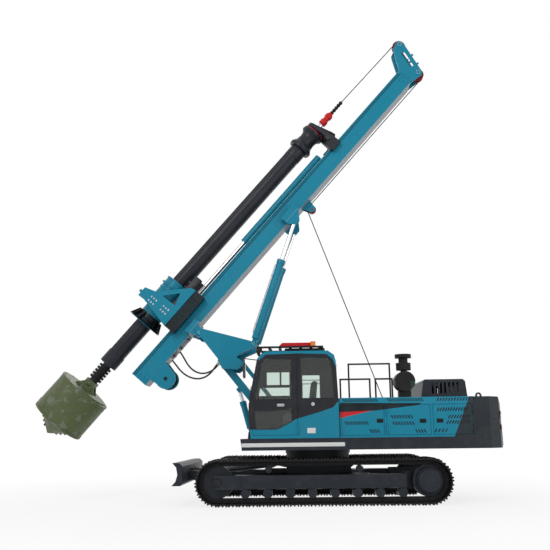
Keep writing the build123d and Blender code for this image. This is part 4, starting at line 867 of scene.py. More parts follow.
class RIG_OT_ropes(bpy.types.Operator):
    """Reeves the hoist rope from the kelly over the head to the winch"""
    bl_idname = "rig.ropes"
    bl_label = "Reeve the ropes"

    def execute(self, context):
        start = mast(LINK_TOP[0], 0, LINK_TOP[1])
        end = arc(mast, SHEAVE_FRONT, SHEAVE_ROPE_R, ROPE_ON, ROPE_ON)[0]
        hoist = rope("hoist_rope_front", None, [start, end])
        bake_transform(hoist)
        over = arc(mast, SHEAVE_FRONT, SHEAVE_ROPE_R, ROPE_ON, ROPE_OVER)
        over += arc(mast, SHEAVE_REAR, SHEAVE_ROPE_R, ROPE_OVER, 180)
        pulley, drum = mast(GUIDE[0], 0, GUIDE[1]), house(WINCH[0], 0, WINCH[1])
        leave, meet = crossed(pulley, GUIDE_ROPE_R, drum, WINCH_ROPE_R)
        off = leave - pulley
        angle = math.degrees(math.atan2(off.dot(MAST_UP), off.dot(MAST_AHEAD)))
        rope("hoist_rope_rear", "mast", over + arc(mast, GUIDE, GUIDE_ROPE_R, 0.0, angle, 12))
        lower = rope("hoist_rope_lower", None, [leave, meet])
        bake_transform(lower)
        return {"FINISHED"}


COIL_SOCKETS = (("Radius", "NodeSocketFloat"), ("Width", "NodeSocketFloat"), ("Turns", "NodeSocketFloat"),
                ("Rope radius", "NodeSocketFloat"), ("Place", "NodeSocketVector"),
                ("Finish", "NodeSocketMaterial"))
# name, body, middle in the frame, radius, width, turns, the rope's radius
WINDINGS = (
    ("main_winch_rope", "main_winch_drum", house(WINCH[0], -220, WINCH[1]), 240.0, 440.0, 20.0, 11.0),
    ("aux_winch_rope", "aux_winch_drum", mast(-70, -170, -1180), 138.0, 340.0, 24.0, 7.0),
)


def coil_tree():
    """A tree that winds rope on a drum that lies across the rig."""
    tree = node_group("winding", COIL_SOCKETS)
    given = add(tree, "NodeGroupInput").outputs
    spiral = add(tree, "GeometryNodeCurveSpiral", inputs={
        "Resolution": 40, "Rotations": given["Turns"], "Start Radius": given["Radius"],
        "End Radius": given["Radius"], "Height": given["Width"]})
    lying = add(tree, "GeometryNodeTransform", spiral, given["Place"], (-math.pi / 2, 0, 0))
    profile = add(tree, "GeometryNodeCurvePrimitiveCircle", inputs={"Resolution": 7,
                                                                    "Radius": given["Rope radius"]})
    wound = add(tree, "GeometryNodeCurveToMesh", lying, profile)
    whole = add(tree, "GeometryNodeRealizeInstances", wound)
    add(tree, "NodeGroupOutput", add(tree, "GeometryNodeSetMaterial", whole, None, given["Finish"]))
    return tree


class RIG_OT_windings(bpy.types.Operator):
    """Winds the rope on both winch drums"""
    bl_idname = "rig.windings"
    bl_label = "Wind the drums"

    def execute(self, context):
        tree = coil_tree()
        for name, body, place, radius, width, turns, thick in WINDINGS:
            mesh = bpy.data.meshes.new(name)
            mesh.from_pydata([(0, 0, 0)], [], [])
            item = linked(name, mesh)
            values = {"Radius": radius * MM, "Width": width * MM, "Turns": turns, "Rope radius": thick * MM,
                      "Place": place, "Finish": FINISHES["rope"][0]}
            dressed(grown(item, tree, values), "rope", body, 60.0)
        return {"FINISHED"}


# ---------------------------------------------------------------- crawler
IDLER_X, SPROCKET_X, AXLE_Z, CHAIN_OUT, SHOE_TIP = 1942.0, -2053.0, 435.0, 385.0, 409.0
TRACK_MIDDLES = (1200.0, -1200.0)
SHOE_COUNT = 54
RUN = IDLER_X - SPROCKET_X
LAP = 2 * RUN + math.tau * CHAIN_OUT


def loop_point(distance, radius):
    """(x, z, turn) of a place on the track, a distance along its pitch line."""
    half = RUN + math.pi * CHAIN_OUT
    lap = distance % LAP
    way = 1 if lap < half else -1
    lap = lap if way == 1 else lap - half
    turn = 0.0 if way == 1 else math.pi
    if lap < RUN:
        x = SPROCKET_X + lap if way == 1 else IDLER_X - lap
        return x, AXLE_Z + way * radius, turn
    a = (lap - RUN) / CHAIN_OUT
    middle = IDLER_X if way == 1 else SPROCKET_X
    return middle + way * radius * math.sin(a), AXLE_Z + way * radius * math.cos(a), turn + a


class RIG_OT_chains(bpy.types.Operator):
    """Adds the chain links and the shoe bolts of both tracks"""
    bl_idname = "rig.chains"
    bl_label = "Add the track chains"

    def execute(self, context):
        pitch = LAP / SHOE_COUNT
        for name, middle in zip(("left", "right"), TRACK_MIDDLES):
            links, heads = [], []
            for i in range(SHOE_COUNT):
                x, z, turn = loop_point((i + 0.5) * pitch, 341.0)
                links += [(house(x, middle + off, z), (0.0, turn, 0.0)) for off in (-100, 100)]
                for share in (0.33, 0.70):
                    x, z, turn = loop_point((i + share) * pitch, SHOE_TIP)
                    out = Vector((math.sin(turn), 0, math.cos(turn)))
                    heads += [(house(x, middle + off, z), facing(out)) for off in (-75, 75)]
            scatter("chain_links_" + name, "link", "undercarriage", "track", links, length=pitch * 0.86 * MM,
                    depth=0.066, thickness=0.018)
            scatter("shoe_bolts_" + name, "bolt", "undercarriage", "track", heads, half_width=0.013,
                    height=0.012)
        return {"FINISHED"}


# ---------------------------------------------------------------- fasteners
LEFT, RIGHT = Vector((0, 1, 0)), Vector((0, -1, 0))
# name, body, finish, view, bolts as x and z, distance from the middle plane, width of a head
SIDE_BOLTS = (
    ("drive_plate_bolts", "rotary_drive", "steel", mast,
     [(x, z) for z in (-70, -170) for x in (1154, 1222, 1290)] +
     [(x, z) for z in (-59, -159) for x in (817, 885, 953)], 440.0, 30.0),
    # black heads, like the painted shade on the runner boxes that they sit on
    ("carriage_bolts", "rotary_drive", "black", mast,
     [(x, z) for z in (470, 380, -200, -280) for x in (430, 480, 530, 580, 630)], 412.0, 20.0),
    ("mast_foot_bolts", "mast", "body", mast,
     [(x, z) for x in (210, 300, 390) for z in (-1500, -1440)], 245.0, 24.0),
    ("mast_top_bolts", "mast", "body", mast,
     [(x, z) for x in (210, 300, 390) for z in (7360, 7430)], 245.0, 24.0),
)
# name, body, finish, view, centre, distance from the middle plane, radius, count, width of a head
BOLT_RINGS = (
    ("final_drive_outer_bolts", "undercarriage", "chassis", house, (SPROCKET_X, AXLE_Z),
     1340.0, 218.0, 16, 24.0),
    ("final_drive_cover_bolts", "undercarriage", "chassis", house, (SPROCKET_X, AXLE_Z),
     1400.0, 150.0, 12, 24.0),
    ("idler_bolts", "undercarriage", "chassis", house, (IDLER_X, AXLE_Z), 1385.0, 70.0, 8, 22.0),
    ("mast_pin_bolts", "luffing_frame", "steel", house, (2461, 3437), 490.0, 24.0, 3, 16.0),
    ("cylinder_foot_bolts", "luffing_frame", "steel", house, (1302, 3190), 490.0, 24.0, 3, 16.0),
    ("winch_bolts", "house", "chassis", house, WINCH, 328.0, 200.0, 12, 26.0),
    ("rear_sheave_bolts", "mast", "steel", mast, SHEAVE_REAR, 184.0, 46.0, 6, 18.0),
    ("front_sheave_bolts", "mast", "steel", mast, SHEAVE_FRONT, 184.0, 46.0, 6, 18.0),
)


COLLAR_BOLTS_R, COLLAR_BOLTS_Z = 312.0, 375.0
LID_BOLTS_R, LID_BOLTS_Z = 560.0, -2485.0


def bolt_circle(radius, height, count):
    """Places of upright bolts in a circle about the kelly, with the way that their heads look."""
    angles = (math.tau * i / count for i in range(count))
    return [(mast(KELLY_X + radius * math.cos(a), radius * math.sin(a), height), MAST_UP) for a in angles]


class RIG_OT_fasteners(bpy.types.Operator):
    """Adds the bolts that show on the machine's sides"""
    bl_idname = "rig.fasteners"
    bl_label = "Add the fasteners"

    def execute(self, context):
        for name, body, finish, at, places, off, width in SIDE_BOLTS:
            rows = [(at(x, side.y * off, z), side) for side in (LEFT, RIGHT) for x, z in places]
            bolts(name, body, rows, width, finish)
        for name, body, finish, at, (x, z), off, radius, count, width in BOLT_RINGS:
            rows = [(point, side) for side in (LEFT, RIGHT)
                    for point in ring(at, (x, side.y * off, z), radius, count, 10)]
            bolts(name, body, rows, width, finish)
        collar = bolt_circle(COLLAR_BOLTS_R, COLLAR_BOLTS_Z, 16)
        bolts("collar_bolts", "rotary_drive", collar, 26.0, "body")
        lid = bolt_circle(LID_BOLTS_R, LID_BOLTS_Z, 12)
        bolts("bucket_lid_bolts", "kelly_core", lid, 24.0, "bucket")
        return {"FINISHED"}


# ---------------------------------------------------------------- housing
SLOT_WIDTH, SLOT_LEAN = 21.0, 0.62
# door, then its rows: first and last slot, how many, lower and upper end, lean (1: top forward)
DOOR_SLOTS = (
    (1, ((-531, -935, 9, 1480, 1544, 1), (-1000, -1148, 4, 1326, 1389, 1))),
    (2, ((-1412, -1783, 8, 1590, 1651, 1), (-1441, -1813, 8, 1464, 1533, 1),
         (-1870, -2027, 4, 1315, 1385, 1))),
    (3, ((-2255, -2800, 12, 1720, 1779, -1), (-2460, -2830, 8, 1580, 1639, -1),
         (-2420, -2823, 9, 1475, 1542, -1), (-2190, -2390, 4, 1325, 1385, -1))),
)
# the same on the sloping edge above the doors, with the ends measured up the slope
EDGE_SLOTS = ((-500, -1127, 14, 30, 90, 1), (-1358, -1994, 14, 30, 90, 1), (-2262, -2861, 12, 30, 90, -1))
EDGE_LOW, EDGE_HIGH = (1450.0, 1880.0), (1415.0, 1990.0)


def slot_rows(rows, side, foot, top):
    """Places and turns of louvre slots on a face that rises from its foot line to its top line."""
    up = Vector((0, side * (top[0] - foot[0]), top[1] - foot[1])).normalized()
    out = Vector((0, side * up.z, -side * up.y))
    placed = []
    for first, last, count, low, high, way in rows:
        for i in range(count):
            lean = SLOT_LEAN * way
            x = first + (last - first) * i / (count - 1) + lean * (high - low) / 2
            middle = Vector((x, side * foot[0], foot[1])) + up * ((low + high) / 2)
            along = (up + AHEAD * lean).normalized()
            turn = Matrix((along.cross(-out), out, along)).transposed().to_euler()
            placed.append((house(*(middle + out * 0.4)), tuple(turn)))
    return placed


class RIG_OT_louvres(bpy.types.Operator):
    """Adds the louvre slots of the service doors and of the sloping edge over them"""
    bl_idname = "rig.louvres"
    bl_label = "Add the louvres"

    def execute(self, context):
        sizes = {"length": SLOT_WIDTH * MM, "depth": 0.076, "thickness": 0.002}
        for name, side, last in (("left", 1, 3), ("right", -1, 2)):
            for door, rows in DOOR_SLOTS[:last]:
                body = "service_door_%s_%d" % (name, door)
                placed = slot_rows(rows, side, (1450.0, 0.0), (1450.0, 1.0))
                scatter("slots_%s_%d" % (name, door), "slot", body, "black", placed, **sizes)
            placed = slot_rows(EDGE_SLOTS[:last], side, EDGE_LOW, EDGE_HIGH)
            scatter("edge_slots_" + name, "slot", "house", "black", placed, **sizes)
        return {"FINISHED"}


# body, side, place of each keyed latch
LATCHES = (("service_door_left_1", 1, -1160, 1550), ("service_door_left_2", 1, -1975, 1539),
           ("service_door_left_3", 1, -2296, 1540), ("service_door_right_1", -1, -1160, 1550),
           ("service_door_right_2", -1, -1975, 1539))


def rounded(x0, x1, z0, z1, radius, count=5):
    """Corners of an upright rectangle with rounded corners."""
    points = []
    for x, z, start in ((x1 - radius, z1 - radius, 0), (x0 + radius, z1 - radius, 90),
                        (x0 + radius, z0 + radius, 180), (x1 - radius, z0 + radius, 270)):
        angles = [math.radians(start + 90 * i / count) for i in range(count + 1)]
        points += [(x + radius * math.cos(a), z + radius * math.sin(a)) for a in angles]
    return points


class RIG_OT_house_fittings(bpy.types.Operator):
    """Adds latches, step bars, rear lamps and two dark bands round the counterweight, painted shade standing in
    for its grooves
    """
    bl_idname = "rig.house_fittings"
    bl_label = "Fit out the housing"

    def execute(self, context):
        for body, side, x, z in LATCHES:
            latch = Form(house)
            latch.prism(rounded(x - 62, x + 62, z - 37, z + 37, 14), side * 1449, side * 1458)
            latch.turned((x - 18, side * 1455, z), (0, side, 0), [(24, 0), (24, 6), (20, 9), (8, 9), (8, 7)])
            latch.prism(rounded(x + 12, x + 52, z - 22, z + 22, 8), side * 1457, side * 1463)
            latch.fit(body + "_latch", "black", body, 1.5)
        bar = Form(house)
        for side in (1, -1):
            bar.prism(rounded(-480, 1490, 1085, 1158, 12), side * 1449, side * 1459)
        bar.fit("step_bars", "plate", "house", 2.0)
        # painted shade: two black bands flush with the counterweight's faces stand in for the shade in its grooves
        bands = Form(house)
        for z in (1310, 1556):
            half = [(-3333, 1380), (-3481, 1252), (-3590, 943)]
            bands.plan(half + [(x, -y) for x, y in half[::-1]], z, z + 18)
        bands.fit("weight_groove_shade", "black", "house")
        for side in (1, -1):
            out = Vector((-450, side * 160, 0)).normalized()
            across = out.cross(ABOVE)

            def lamp_place(u, w, v):
                return house(*(Vector((-3517, side * 1146, v)) + across * u + out * w))

            for name, low, high in (("upper", 1588, 1710), ("lower", 1360, 1452)):
                rim = Form(lamp_place)
                rim.prism(rounded(-82, 82, low - 8, high + 8, 16), -4, 12)
                rim.fit("rear_lamp_rim_%s_%d" % (name, side % 3), "black", "house", 2.0)
                lens = Form(lamp_place)
                lens.prism(rounded(-72, 72, low, high, 12), 6, 22)
                lens.fit("rear_lamp_%s_%d" % (name, side % 3), "red_lens", "house", 4.0)
        return {"FINISHED"}


# ---------------------------------------------------------------- cab
DOOR_UP_WINDOW = [(1225, 1980), (1098, 2690), (1050, 2760), (520, 2760), (520, 1980)]
DOOR_LOW_WINDOW = [(1205, 1420), (1235, 1600), (1232, 1760), (880, 1760), (520, 1800), (520, 1560),
                   (800, 1420)]
REAR_SIDE_WINDOW = [(330, 1990), (330, 2780), (-190, 2780), (-262, 2680), (-300, 1990)]
# name, body, outline, distance from the middle plane
GASKETS = (("door_upper_gasket", "cab_door", DOOR_UP_WINDOW, CAB_OUT),
           ("door_lower_gasket", "cab_door", DOOR_LOW_WINDOW, CAB_OUT),
           ("rear_side_gasket", "house", REAR_SIDE_WINDOW, CAB_OUT),
           ("inner_rear_gasket", "house", REAR_SIDE_WINDOW, CAB_IN),
           ("inner_side_gasket", "house", DOOR_UP_WINDOW, CAB_IN))
ROOF_LAMPS = (650.0, 1000.0, 1350.0)


def without(item, cutter):
    """The piece with another one cut out of it."""
    cut = item.modifiers.new("cut", "BOOLEAN")
    cut.operation, cut.solver, cut.object = "DIFFERENCE", "EXACT", cutter
    item = settled(item)
    bpy.data.objects.remove(cutter)
    return item


# side view of the trim on the cab's inner wall, and of the openings in it
LINING = [(1262, 1440), (1285, 1640), (1264, 2010), (1112, 2790), (-270, 2790), (-310, 2565), (-340, 1960),
          (-340, 1440)]
LINING_OPENINGS = (
    [(1024, 2310), (1024, 2565), (760, 2565), (760, 2310)],
    [(725, 2310), (725, 2565), (561, 2565), (561, 2310)],
    [(1190, 2090), (1165, 2254), (561, 2254), (561, 2090)],
    [(294, 2407), (294, 2496), (-57, 2496), (-57, 2407)],
    [(294, 2330), (294, 2394), (-57, 2394), (-57, 2330)],
    [(294, 2028), (294, 2316), (-57, 2316), (-57, 2028)],
)


class RIG_OT_cab_fittings(bpy.types.Operator):
    """Adds the cab's gaskets, trim, handle, lamps, roof box, aerial, wiper and mirror glass"""
    bl_idname = "rig.cab_fittings"
    bl_label = "Fit out the cab"

    def execute(self, context):
        for name, body, corners, y in GASKETS:
            gasket = Form(house)
            line = [(x, y, z) for x, z in corners + corners[:2]]
            gasket.sweep(line, 11.0, 10)
            gasket.fit(name, "rubber", body)
        door = Form(house)
        door.prism(rounded(660, 800, 1840, 1892, 18), CAB_OUT - 1, CAB_OUT + 8)
        door.sweep([(680, CAB_OUT + 4, 1866), (690, CAB_OUT + 26, 1866), (770, CAB_OUT + 26, 1866),
                    (780, CAB_OUT + 4, 1866)], 9.0, 12)
        door.fit("door_handle", "steel", "cab_door", 2.0)
        panel = Form(house)
        panel.prism(rounded(70, 228, 1332, 1431, 8), CAB_OUT - 1, CAB_OUT + 2)
        panel.fit("blank_side_plate", "plate", "house", 0.8)
        lock = Form(house)
        lock.turned((108, CAB_OUT - 1, 1878), (0, 1, 0), [(34, 0), (34, 7), (28, 11), (12, 11), (12, 8)])
        lock.fit("fuel_flap_lock", "steel", "house")
        lining = Form(house)
        lining.prism(LINING, CAB_IN + 44, CAB_IN + 60)
        openings = Form(house)
        for corners in LINING_OPENINGS:
            openings.prism(corners, CAB_IN + 40, CAB_IN + 64)
        cutter = openings.fit("lining_openings", "black", "house")
        without(lining.fit("cab_lining", "black", "house"), cutter)
        roof = Form(house)
        roof.plan([(-150, 640), (640, 640), (640, 1330), (-150, 1330)], 2904, 2972)
        roof.fit("air_conditioner", "black", "house", 12.0)
        aerial = Form(house)
        aerial.turned((890, 1330, 2904), (0, 0, 1), [(18, 0), (18, 20), (8, 34), (3.5, 40), (3, 66)])
        aerial.fit("aerial_foot", "plastic", "house")
        for i, y in enumerate(ROOF_LAMPS):
            body = Form(house)
            body.turned((1150, y, 2938), (1, 0, 0), [(20, 0), (40, 12), (44, 45), (44, 55), (38, 55),
                                                     (34, 48)])
            body.fit("roof_lamp_%d" % (i + 1), "plastic", "house")
            lens = Form(house)
            lens.turned((1196, y, 2938), (1, 0, 0), [(39, 0), (39, 4), (30, 9), (10, 12)])
            lens.fit("roof_lamp_lens_%d" % (i + 1), "clear_lens", "house")
        wiper = Form(house)
        wiper.sweep([(1362, 1000, 1560), (1374, 1010, 1640), (1366, 1080, 1930)], [9, 7, 5], 8)
        wiper.sweep([(1362, 1075, 1720), (1352, 1085, 2080), (1316, 1094, 2260)], 6.0, 8)
        wiper.turned((1340, 1000, 1560), (1, 0, 0), [(22, 0), (22, 26), (12, 34)])
        wiper.fit("wiper", "plastic", "house")
        glass = Form(house)
        glass.prism(rounded(1400, 1404, 2408, 2652, 1.5), CAB_OUT - 5, CAB_OUT + 127)
        glass.fit("mirror_glass", "chrome", "house", 0.5)
        return {"FINISHED"}


FLOOR = 1282.6              # cab floor, from the ground
# lever on a console, as radius and height
LEVER = [(30, 0), (26, 12), (16, 26), (10, 34), (8, 60), (19, 66), (21, 90), (17, 102), (8, 105)]
# name, side view of the pad, half its width, how far it may swell
PADS = (
    ("seat_cushion", [(100, FLOOR + 322), (600, FLOOR + 330), (600, FLOOR + 425), (100, FLOOR + 432)],
     222, 24),
    ("seat_back", [(112, FLOOR + 450), (196, FLOOR + 440), (104, FLOOR + 1070), (24, FLOOR + 1080)],
     212, 20),
)


def stuffed(item, swell):
    """Fills a pad until its cover stands out between its edges."""
    remesh = item.modifiers.new("even_cover", "REMESH")
    remesh.mode, remesh.voxel_size = "VOXEL", 0.012
    item = settled(item)
    before = [vertex.co.copy() for vertex in item.data.vertices]
    cloth = item.modifiers.new("stuffing", "CLOTH")
    cloth.settings.use_pressure = True
    cloth.settings.uniform_pressure_force = 4.0
    cloth.settings.effector_weights.gravity = 0.0
    for frame_number in range(1, 21):
        bpy.context.scene.frame_set(frame_number)
    item = settled(item)
    for vertex, start in zip(item.data.vertices, before):
        move = vertex.co - start
        if move.length > swell * MM:
            vertex.co = start + move.normalized() * swell * MM
    bpy.context.scene.frame_set(1)
    return item


def pad(name, corners, half, swell):
    """One padded part of the seat."""
    form = Form(house)
    form.prism(corners, CAB_MIDDLE - half, CAB_MIDDLE + half)
    item = form.fit(name, "cloth", "house", 30.0)
    item = stuffed(item, swell)
    smooth = item.modifiers.new("smooth_cover", "SUBSURF")
    smooth.levels = smooth.render_levels = 1
    dressed(settled(item), "cloth", "house", 80.0)
    return item


class RIG_OT_seat(bpy.types.Operator):
    """Builds the operator's seat between its consoles"""
    bl_idname = "rig.seat"
    bl_label = "Build the seat"

    def execute(self, context):
        for name, corners, half, swell in PADS:
            pad(name, corners, half, swell)
        stand = Form(house)
        stand.prism([(190, FLOOR), (520, FLOOR), (500, FLOOR + 40), (210, FLOOR + 40)], CAB_MIDDLE - 125,
                    CAB_MIDDLE + 125)
        for i in range(6):
            z = FLOOR + 40 + i * 38
            stand.plan([(205, CAB_MIDDLE - 115), (505, CAB_MIDDLE - 115), (505, CAB_MIDDLE + 115),
                        (205, CAB_MIDDLE + 115)], z + 5, z + 38)
        stand.prism([(110, FLOOR + 268), (590, FLOOR + 268), (600, FLOOR + 318), (100, FLOOR + 318)],
                    CAB_MIDDLE - 200, CAB_MIDDLE + 200)
        stand.prism([(60, FLOOR + 440), (104, FLOOR + 440), (16, FLOOR + 1060), (4, FLOOR + 1060)],
                    CAB_MIDDLE - 190, CAB_MIDDLE + 190)
        base = stand.fit("seat_stand", "plastic", "house", 6.0)
        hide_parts("cab_interior")
        for side in (1, -1):
            middle = CAB_MIDDLE + side * 320
            console = Form(house)
            console.prism([(262, FLOOR), (690, FLOOR), (690, FLOOR + 380), (640, FLOOR + 455),
                           (262, FLOOR + 455)], middle - 46, middle + 46)
            console.prism([(270, FLOOR + 455), (560, FLOOR + 455), (550, FLOOR + 490), (280, FLOOR + 490)],
                          middle - 40, middle + 40)
            console.turned((625, middle, FLOOR + 452), (0.1, 0, 1), LEVER)
            console.fit("console_left" if side > 0 else "console_right", "plastic", "house", 5.0)
        return {"FINISHED"}


# ---------------------------------------------------------------- head of the mast
HEAD_PLATE = [(95, 7820), (110, 7868), (160, 7905), (880, 8176), (950, 8198), (1040, 8170), (1060, 8100),
              (1000, 7900), (940, 7850), (600, 7610), (480, 7420), (170, 7420)]
HEAD_SLOT = [(420, 7812), (770, 7940), (800, 7965), (775, 8020), (740, 8030), (405, 7905), (380, 7880)]


class RIG_OT_mast_head(bpy.types.Operator):
    """Builds the slotted head plates round both sheaves"""
    bl_idname = "rig.mast_head"
    bl_label = "Build the mast's head"

    def execute(self, context):
        cutter = Form(mast)
        cutter.prism(HEAD_SLOT, -200, 200)
        cutter = cutter.fit("head_slot", "body", "mast")
        plates = Form(mast)
        for side in (1, -1):
            plates.prism(HEAD_PLATE, side * 150, side * 175)
        plates = without(plates.fit("head_plates", "head", "mast", 2.0), cutter)
        dressed(plates, "head", "mast")
        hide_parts("mast_head")
        rest = Form(mast)
        rest.block(180, 470, -176, 176, 7481, 7520)
        rest.sweep([(585, -151, 7930), (585, 151, 7930)], 26.0, 20)
        rest.prism([(390, 7500), (470, 7500), (700, 7740), (620, 7940), (560, 7940), (400, 7720)], -12, 12)
        for side in (1, -1):
            for x, z in (SHEAVE_FRONT, SHEAVE_REAR):
                rest.turned((x, side * 174, z), (0, side, 0), [(66, 0), (66, 8), (60, 11), (22, 11)])
            for x, z in ((330, 7950), (560, 8040)):
                rest.prism([(x, z), (x + 44, z + 17), (x + 30, z + 75), (x - 14, z + 58)], side * 152,
                           side * 173)
        rest.fit("head_fittings", "body", "mast", 2.0)
        return {"FINISHED"}


# ---------------------------------------------------------------- kelly, bucket and drive
KELLY_X = 1130.0
# the swivel on the kelly's head and the link over it, as radius and height over the kelly's top
NECK = [(60, 128), (60, 300)]
SWIVEL = [(58, 300), (62, 301), (88, 340), (88, 430), (70, 450), (70, 510), (88, 530), (88, 600), (50, 660),
          (30, 662)]
BANDS = ([(178, -760), (192, -755), (192, -500), (178, -495)],
         [(256, -478), (268, -470), (268, -425), (262, -418)])
BUCKET_TOP, BUCKET_LOW, BUCKET_R = -2490.0, -3300.0, 590.0
CLEATS = (10, 55, 125, 170, 235, 305)
TEETH = (140, 215, 290, 365)


def about_kelly(angle):
    """A view like the mast's, turned about the kelly's axis."""
    a = math.radians(angle)

    def place(x, y, z):
        off = x - KELLY_X
        return mast(KELLY_X + off * math.cos(a) - y * math.sin(a), off * math.sin(a) + y * math.cos(a), z)

    return place


class RIG_OT_kelly_head(bpy.types.Operator):
    """Builds the swivel, its link and the arms of the kelly's guide"""
    bl_idname = "rig.kelly_head"
    bl_label = "Build the kelly's head"

    def execute(self, context):
        for name, profile, finish in (("swivel_neck", NECK, "chrome"), ("swivel", SWIVEL, "signal")):
            part = Form(mast)
            part.turned((KELLY_X, 0, KELLY_TOP), (0, 0, 1), profile, 40)
            part.fit(name, finish, "kelly_outer", 1.5)
        link = Form(mast)
        steps = [(40, 655)]
        for i in range(5):
            low = 660 + i * 78
            steps += [(26, low), (44, low + 22), (44, low + 50)]
        link.turned((KELLY_X, 0, KELLY_TOP), (0, 0, 1), steps + [(26, 1050)], 24)
        link.fit("swivel_link", "black", "kelly_outer", 1.0)
        arms = Form(mast)
        for side in (1, -1):
            arms.prism([(600, KELLY_TOP + 145), (690, KELLY_TOP + 262), (780, KELLY_TOP + 250),
                        (1200, KELLY_TOP + 150), (1200, KELLY_TOP + 100), (640, KELLY_TOP + 60)],
                       side * 175, side * 212)
            arms.prism([(662, KELLY_TOP - 128), (700, KELLY_TOP - 128), (700, KELLY_TOP + 60),
                        (662, KELLY_TOP + 60)], side * 285, side * 350)
        arms.fit("guide_arms", "black", "kelly_guide", 4.0)
        band = Form(mast)
        for profile in BANDS:
            band.turned((KELLY_X, 0, KELLY_TOP), (0, 0, 1), profile, 48)
        band.fit("kelly_band", "kelly", "kelly_outer", 2.0)
        return {"FINISHED"}


class RIG_OT_bucket(bpy.types.Operator):
    """Adds the bucket's lid plate, gussets, pin, cleats, bands and cutting teeth"""
    bl_idname = "rig.bucket"
    bl_label = "Fit out the bucket"

    def execute(self, context):
        top = Form(mast)
        angles = [math.radians(85 + 190 * i / 30) for i in range(31)]
        top.plan([(KELLY_X + 520 * math.cos(a), 520 * math.sin(a)) for a in angles], BUCKET_TOP + 4,
                 BUCKET_TOP + 30)
        for way in (1, -1):
            for side in (1, -1):
                top.prism([(KELLY_X + way * 118, BUCKET_TOP + 4), (KELLY_X + way * 270, BUCKET_TOP + 4),
                           (KELLY_X + way * 118, BUCKET_TOP + 175)], side * 80, side * 102)
        top.sweep([(KELLY_X, -150, BUCKET_TOP + 160), (KELLY_X, 150, BUCKET_TOP + 160)], 25.0, 20)
        for side in (1, -1):
            top.turned((KELLY_X, side * 120, BUCKET_TOP + 160), (0, side, 0), [(48, 0), (48, 14), (40, 18)])
        top.fit("bucket_top", "bucket", "kelly_core", 3.0)
        for i, angle in enumerate(CLEATS):
            cleat = Form(about_kelly(angle))
            wall_x = KELLY_X + BUCKET_R
            cleat.block(wall_x - 6, wall_x + 7, -45, 45, BUCKET_LOW + 30, BUCKET_LOW + 120)
            cleat.block(wall_x - 6, wall_x + 5, -6, 6, BUCKET_LOW + 180, BUCKET_LOW + 400)
            cleat.fit("bucket_cleat_%d" % (i + 1), "bucket", "kelly_core", 2.0)
        wall = Form(mast)
        for high in (BUCKET_TOP - 95, BUCKET_LOW + 22):
            wall.turned((KELLY_X, 0, high), (0, 0, 1), [(BUCKET_R - 4, -14), (BUCKET_R + 5, -10),
                                                        (BUCKET_R + 5, 10), (BUCKET_R - 4, 14)], 96)
        wall.fit("bucket_bands", "bucket", "kelly_core", 2.0)
        rim_low = BUCKET_LOW - 40
        for way in (1, -1):
            teeth = Form(mast)
            for r in TEETH:
                rim = rim_low - (430 - math.hypot(r, 60)) * 290 / 370
                x, y = KELLY_X + way * r, way * 60
                rows = [[(x - 30, y - 22, rim + 60), (x + 30, y - 22, rim + 60), (x + 30, y + 22, rim + 60),
                         (x - 30, y + 22, rim + 60)],
                        [(x - 24, y - 4, rim - 26), (x + 24, y - 4, rim - 26), (x + 24, y + 20, rim - 26),
                         (x - 24, y + 20, rim - 26)]]
                teeth.skin(rows)
            teeth.fit("teeth_front" if way > 0 else "teeth_rear", "iron", "bucket_flap", 3.0)
        return {"FINISHED"}


class RIG_OT_drive_fittings(bpy.types.Operator):
    """Adds the drive's bell ribs, collars, motor caps, hose unions and noses"""
    bl_idname = "rig.drive_fittings"
    bl_label = "Fit out the rotary drive"

    def execute(self, context):
        ribs = Form(mast)
        profile = [(248, -395), (300, -395), (399, -598), (392, -606), (300, -561), (256, -482)]
        for i in range(12):
            ribs.at = about_kelly(i * 30 + 15)
            ribs.prism([(KELLY_X + r, z) for r, z in profile], -6, 6)
        ribs.fit("bell_ribs", "black", "rotary_drive", 1.0)
        collar = Form(mast)
        collar.turned((KELLY_X, 0, 515), (0, 0, 1), [(300, -2), (300, 10), (285, 16), (222, 16),
                                                     (222, 0)], 64)
        collar.turned((KELLY_X, 0, 250), (0, 0, 1), [(288, -20), (302, -16), (302, 16), (288, 20)], 64)
        collar.fit("drive_collar", "body", "rotary_drive", 1.5)
        for side in (1, -1):
            motor = Form(mast)
            y = side * 298
            motor.turned((800, y, 160), (0, 0, 1), [(98, 0), (98, 14), (93, 20)], 32)
            motor.turned((800, y, 330), (0, 0, 1), [(91, 0), (101, 6), (101, 34), (91, 40)], 32)
            motor.turned((800, y, 878), (0, 0, 1), [(88, 0), (80, 12), (40, 16), (20, 17)], 32)
            for z in (700, 560):
                motor.turned((892, y, z), (1, 0, 0), [(30, -6), (30, 14), (22, 16), (22, 44), (18, 46)], 6)
            motor.fit("motor_left" if side > 0 else "motor_right", "iron", "rotary_drive", 1.5)
            nose = Form(mast)
            nose.prism([(1530, -160), (1590, -150), (1590, -95), (1530, -85)], side * 412, side * 436)
            nose.fit("drive_nose_left" if side > 0 else "drive_nose_right", "body", "rotary_drive", 3.0)
        return {"FINISHED"}


MAST_PIPES = (-60.0, 0.0, 60.0)
BARREL_AXIS = Vector(JOINTS["mast_rod_slide"]["axis"])
BARREL_FOOT = Vector(JOINTS["mast_cylinder_pivot"]["pos_m"])


def on_barrel(x, y, z):
    """A point on a mast cylinder: x behind its axis, z along it from its foot, in millimetres."""
    foot = Vector((BARREL_FOOT.x, SLEW_AXIS.y, BARREL_FOOT.z))
    return foot + (ACROSS * y + ACROSS.cross(BARREL_AXIS) * x + BARREL_AXIS * z) * MM


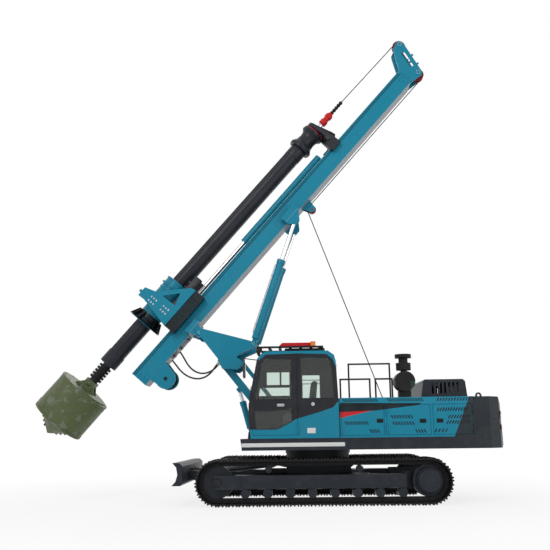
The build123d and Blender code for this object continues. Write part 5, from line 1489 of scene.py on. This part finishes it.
class RIG_OT_pipes(bpy.types.Operator):
    """Adds the rigid pipes on the mast's back and along its cylinders"""
    bl_idname = "rig.pipes"
    bl_label = "Run the pipes"

    def execute(self, context):
        pipes = Form(mast)
        for y in MAST_PIPES:
            pipes.sweep([(161, y, -820), (136, y, -805), (132, y, -780), (132, y, -200), (136, y, -175),
                         (161, y, -160)], 9.0, 10)
        pipes.fit("mast_pipes", "steel", "mast")
        clamps = Form(mast)
        for z in (-700, -480, -250):
            clamps.block(119, 161, -84, 84, z - 18, z + 18)
        clamps.fit("pipe_clamps", "plastic", "mast", 3.0)
        for side, name in ((1, "left"), (-1, "right")):
            y = side * 395
            line = Form(on_barrel)
            line.sweep([(80, y, 220), (98, y, 240), (100, y, 270), (100, y, 1740), (98, y, 1770),
                        (84, y, 1790)], 10.0, 10)
            for z in (420, 980, 1540):
                line.block(78, 114, y - 20, y + 20, z - 16, z + 16)
            line.turned((0, y, 1896), (0, 0, 1), [(93, 0), (93, 10), (88, 14), (46, 14), (46, 4)], 32)
            line.fit("barrel_pipe_" + name, "steel", "mast_barrels", 1.0)
        return {"FINISHED"}


# ---------------------------------------------------------------- add-on
class RIG_PT_panel(bpy.types.Panel):
    """Lists the rig's settings and steps"""
    bl_label = "Piling rig"
    bl_idname = "RIG_PT_panel"
    bl_space_type = "VIEW_3D"
    bl_region_type = "UI"
    bl_category = "Piling rig"

    def draw(self, context):
        for name, group in GROUPS.items():
            for key in group.__annotations__:
                self.layout.prop(getattr(context.scene, name), key)
        for step in STEPS:
            self.layout.operator(step.bl_idname)


GROUPS = {"rig_finish": RigFinish, "rig_stage": RigStage}
STEPS = (RIG_OT_paint, RIG_OT_stage, RIG_OT_hoses, RIG_OT_ropes, RIG_OT_windings, RIG_OT_chains,
         RIG_OT_louvres, RIG_OT_house_fittings, RIG_OT_cab_fittings, RIG_OT_seat, RIG_OT_mast_head,
         RIG_OT_kelly_head, RIG_OT_bucket, RIG_OT_drive_fittings, RIG_OT_pipes, RIG_OT_fasteners)


def register():
    for made in (*GROUPS.values(), *STEPS, RIG_PT_panel):
        bpy.utils.register_class(made)
    for name, group in GROUPS.items():
        setattr(bpy.types.Scene, name, bpy.props.PointerProperty(type=group))


def unregister():
    for name in GROUPS:
        delattr(bpy.types.Scene, name)
    for made in reversed((*GROUPS.values(), *STEPS, RIG_PT_panel)):
        bpy.utils.unregister_class(made)


def main():
    register()
    for step in STEPS:
        group, name = step.bl_idname.split(".")
        getattr(getattr(bpy.ops, group), name)()


if __name__ == "__main__":
    main()
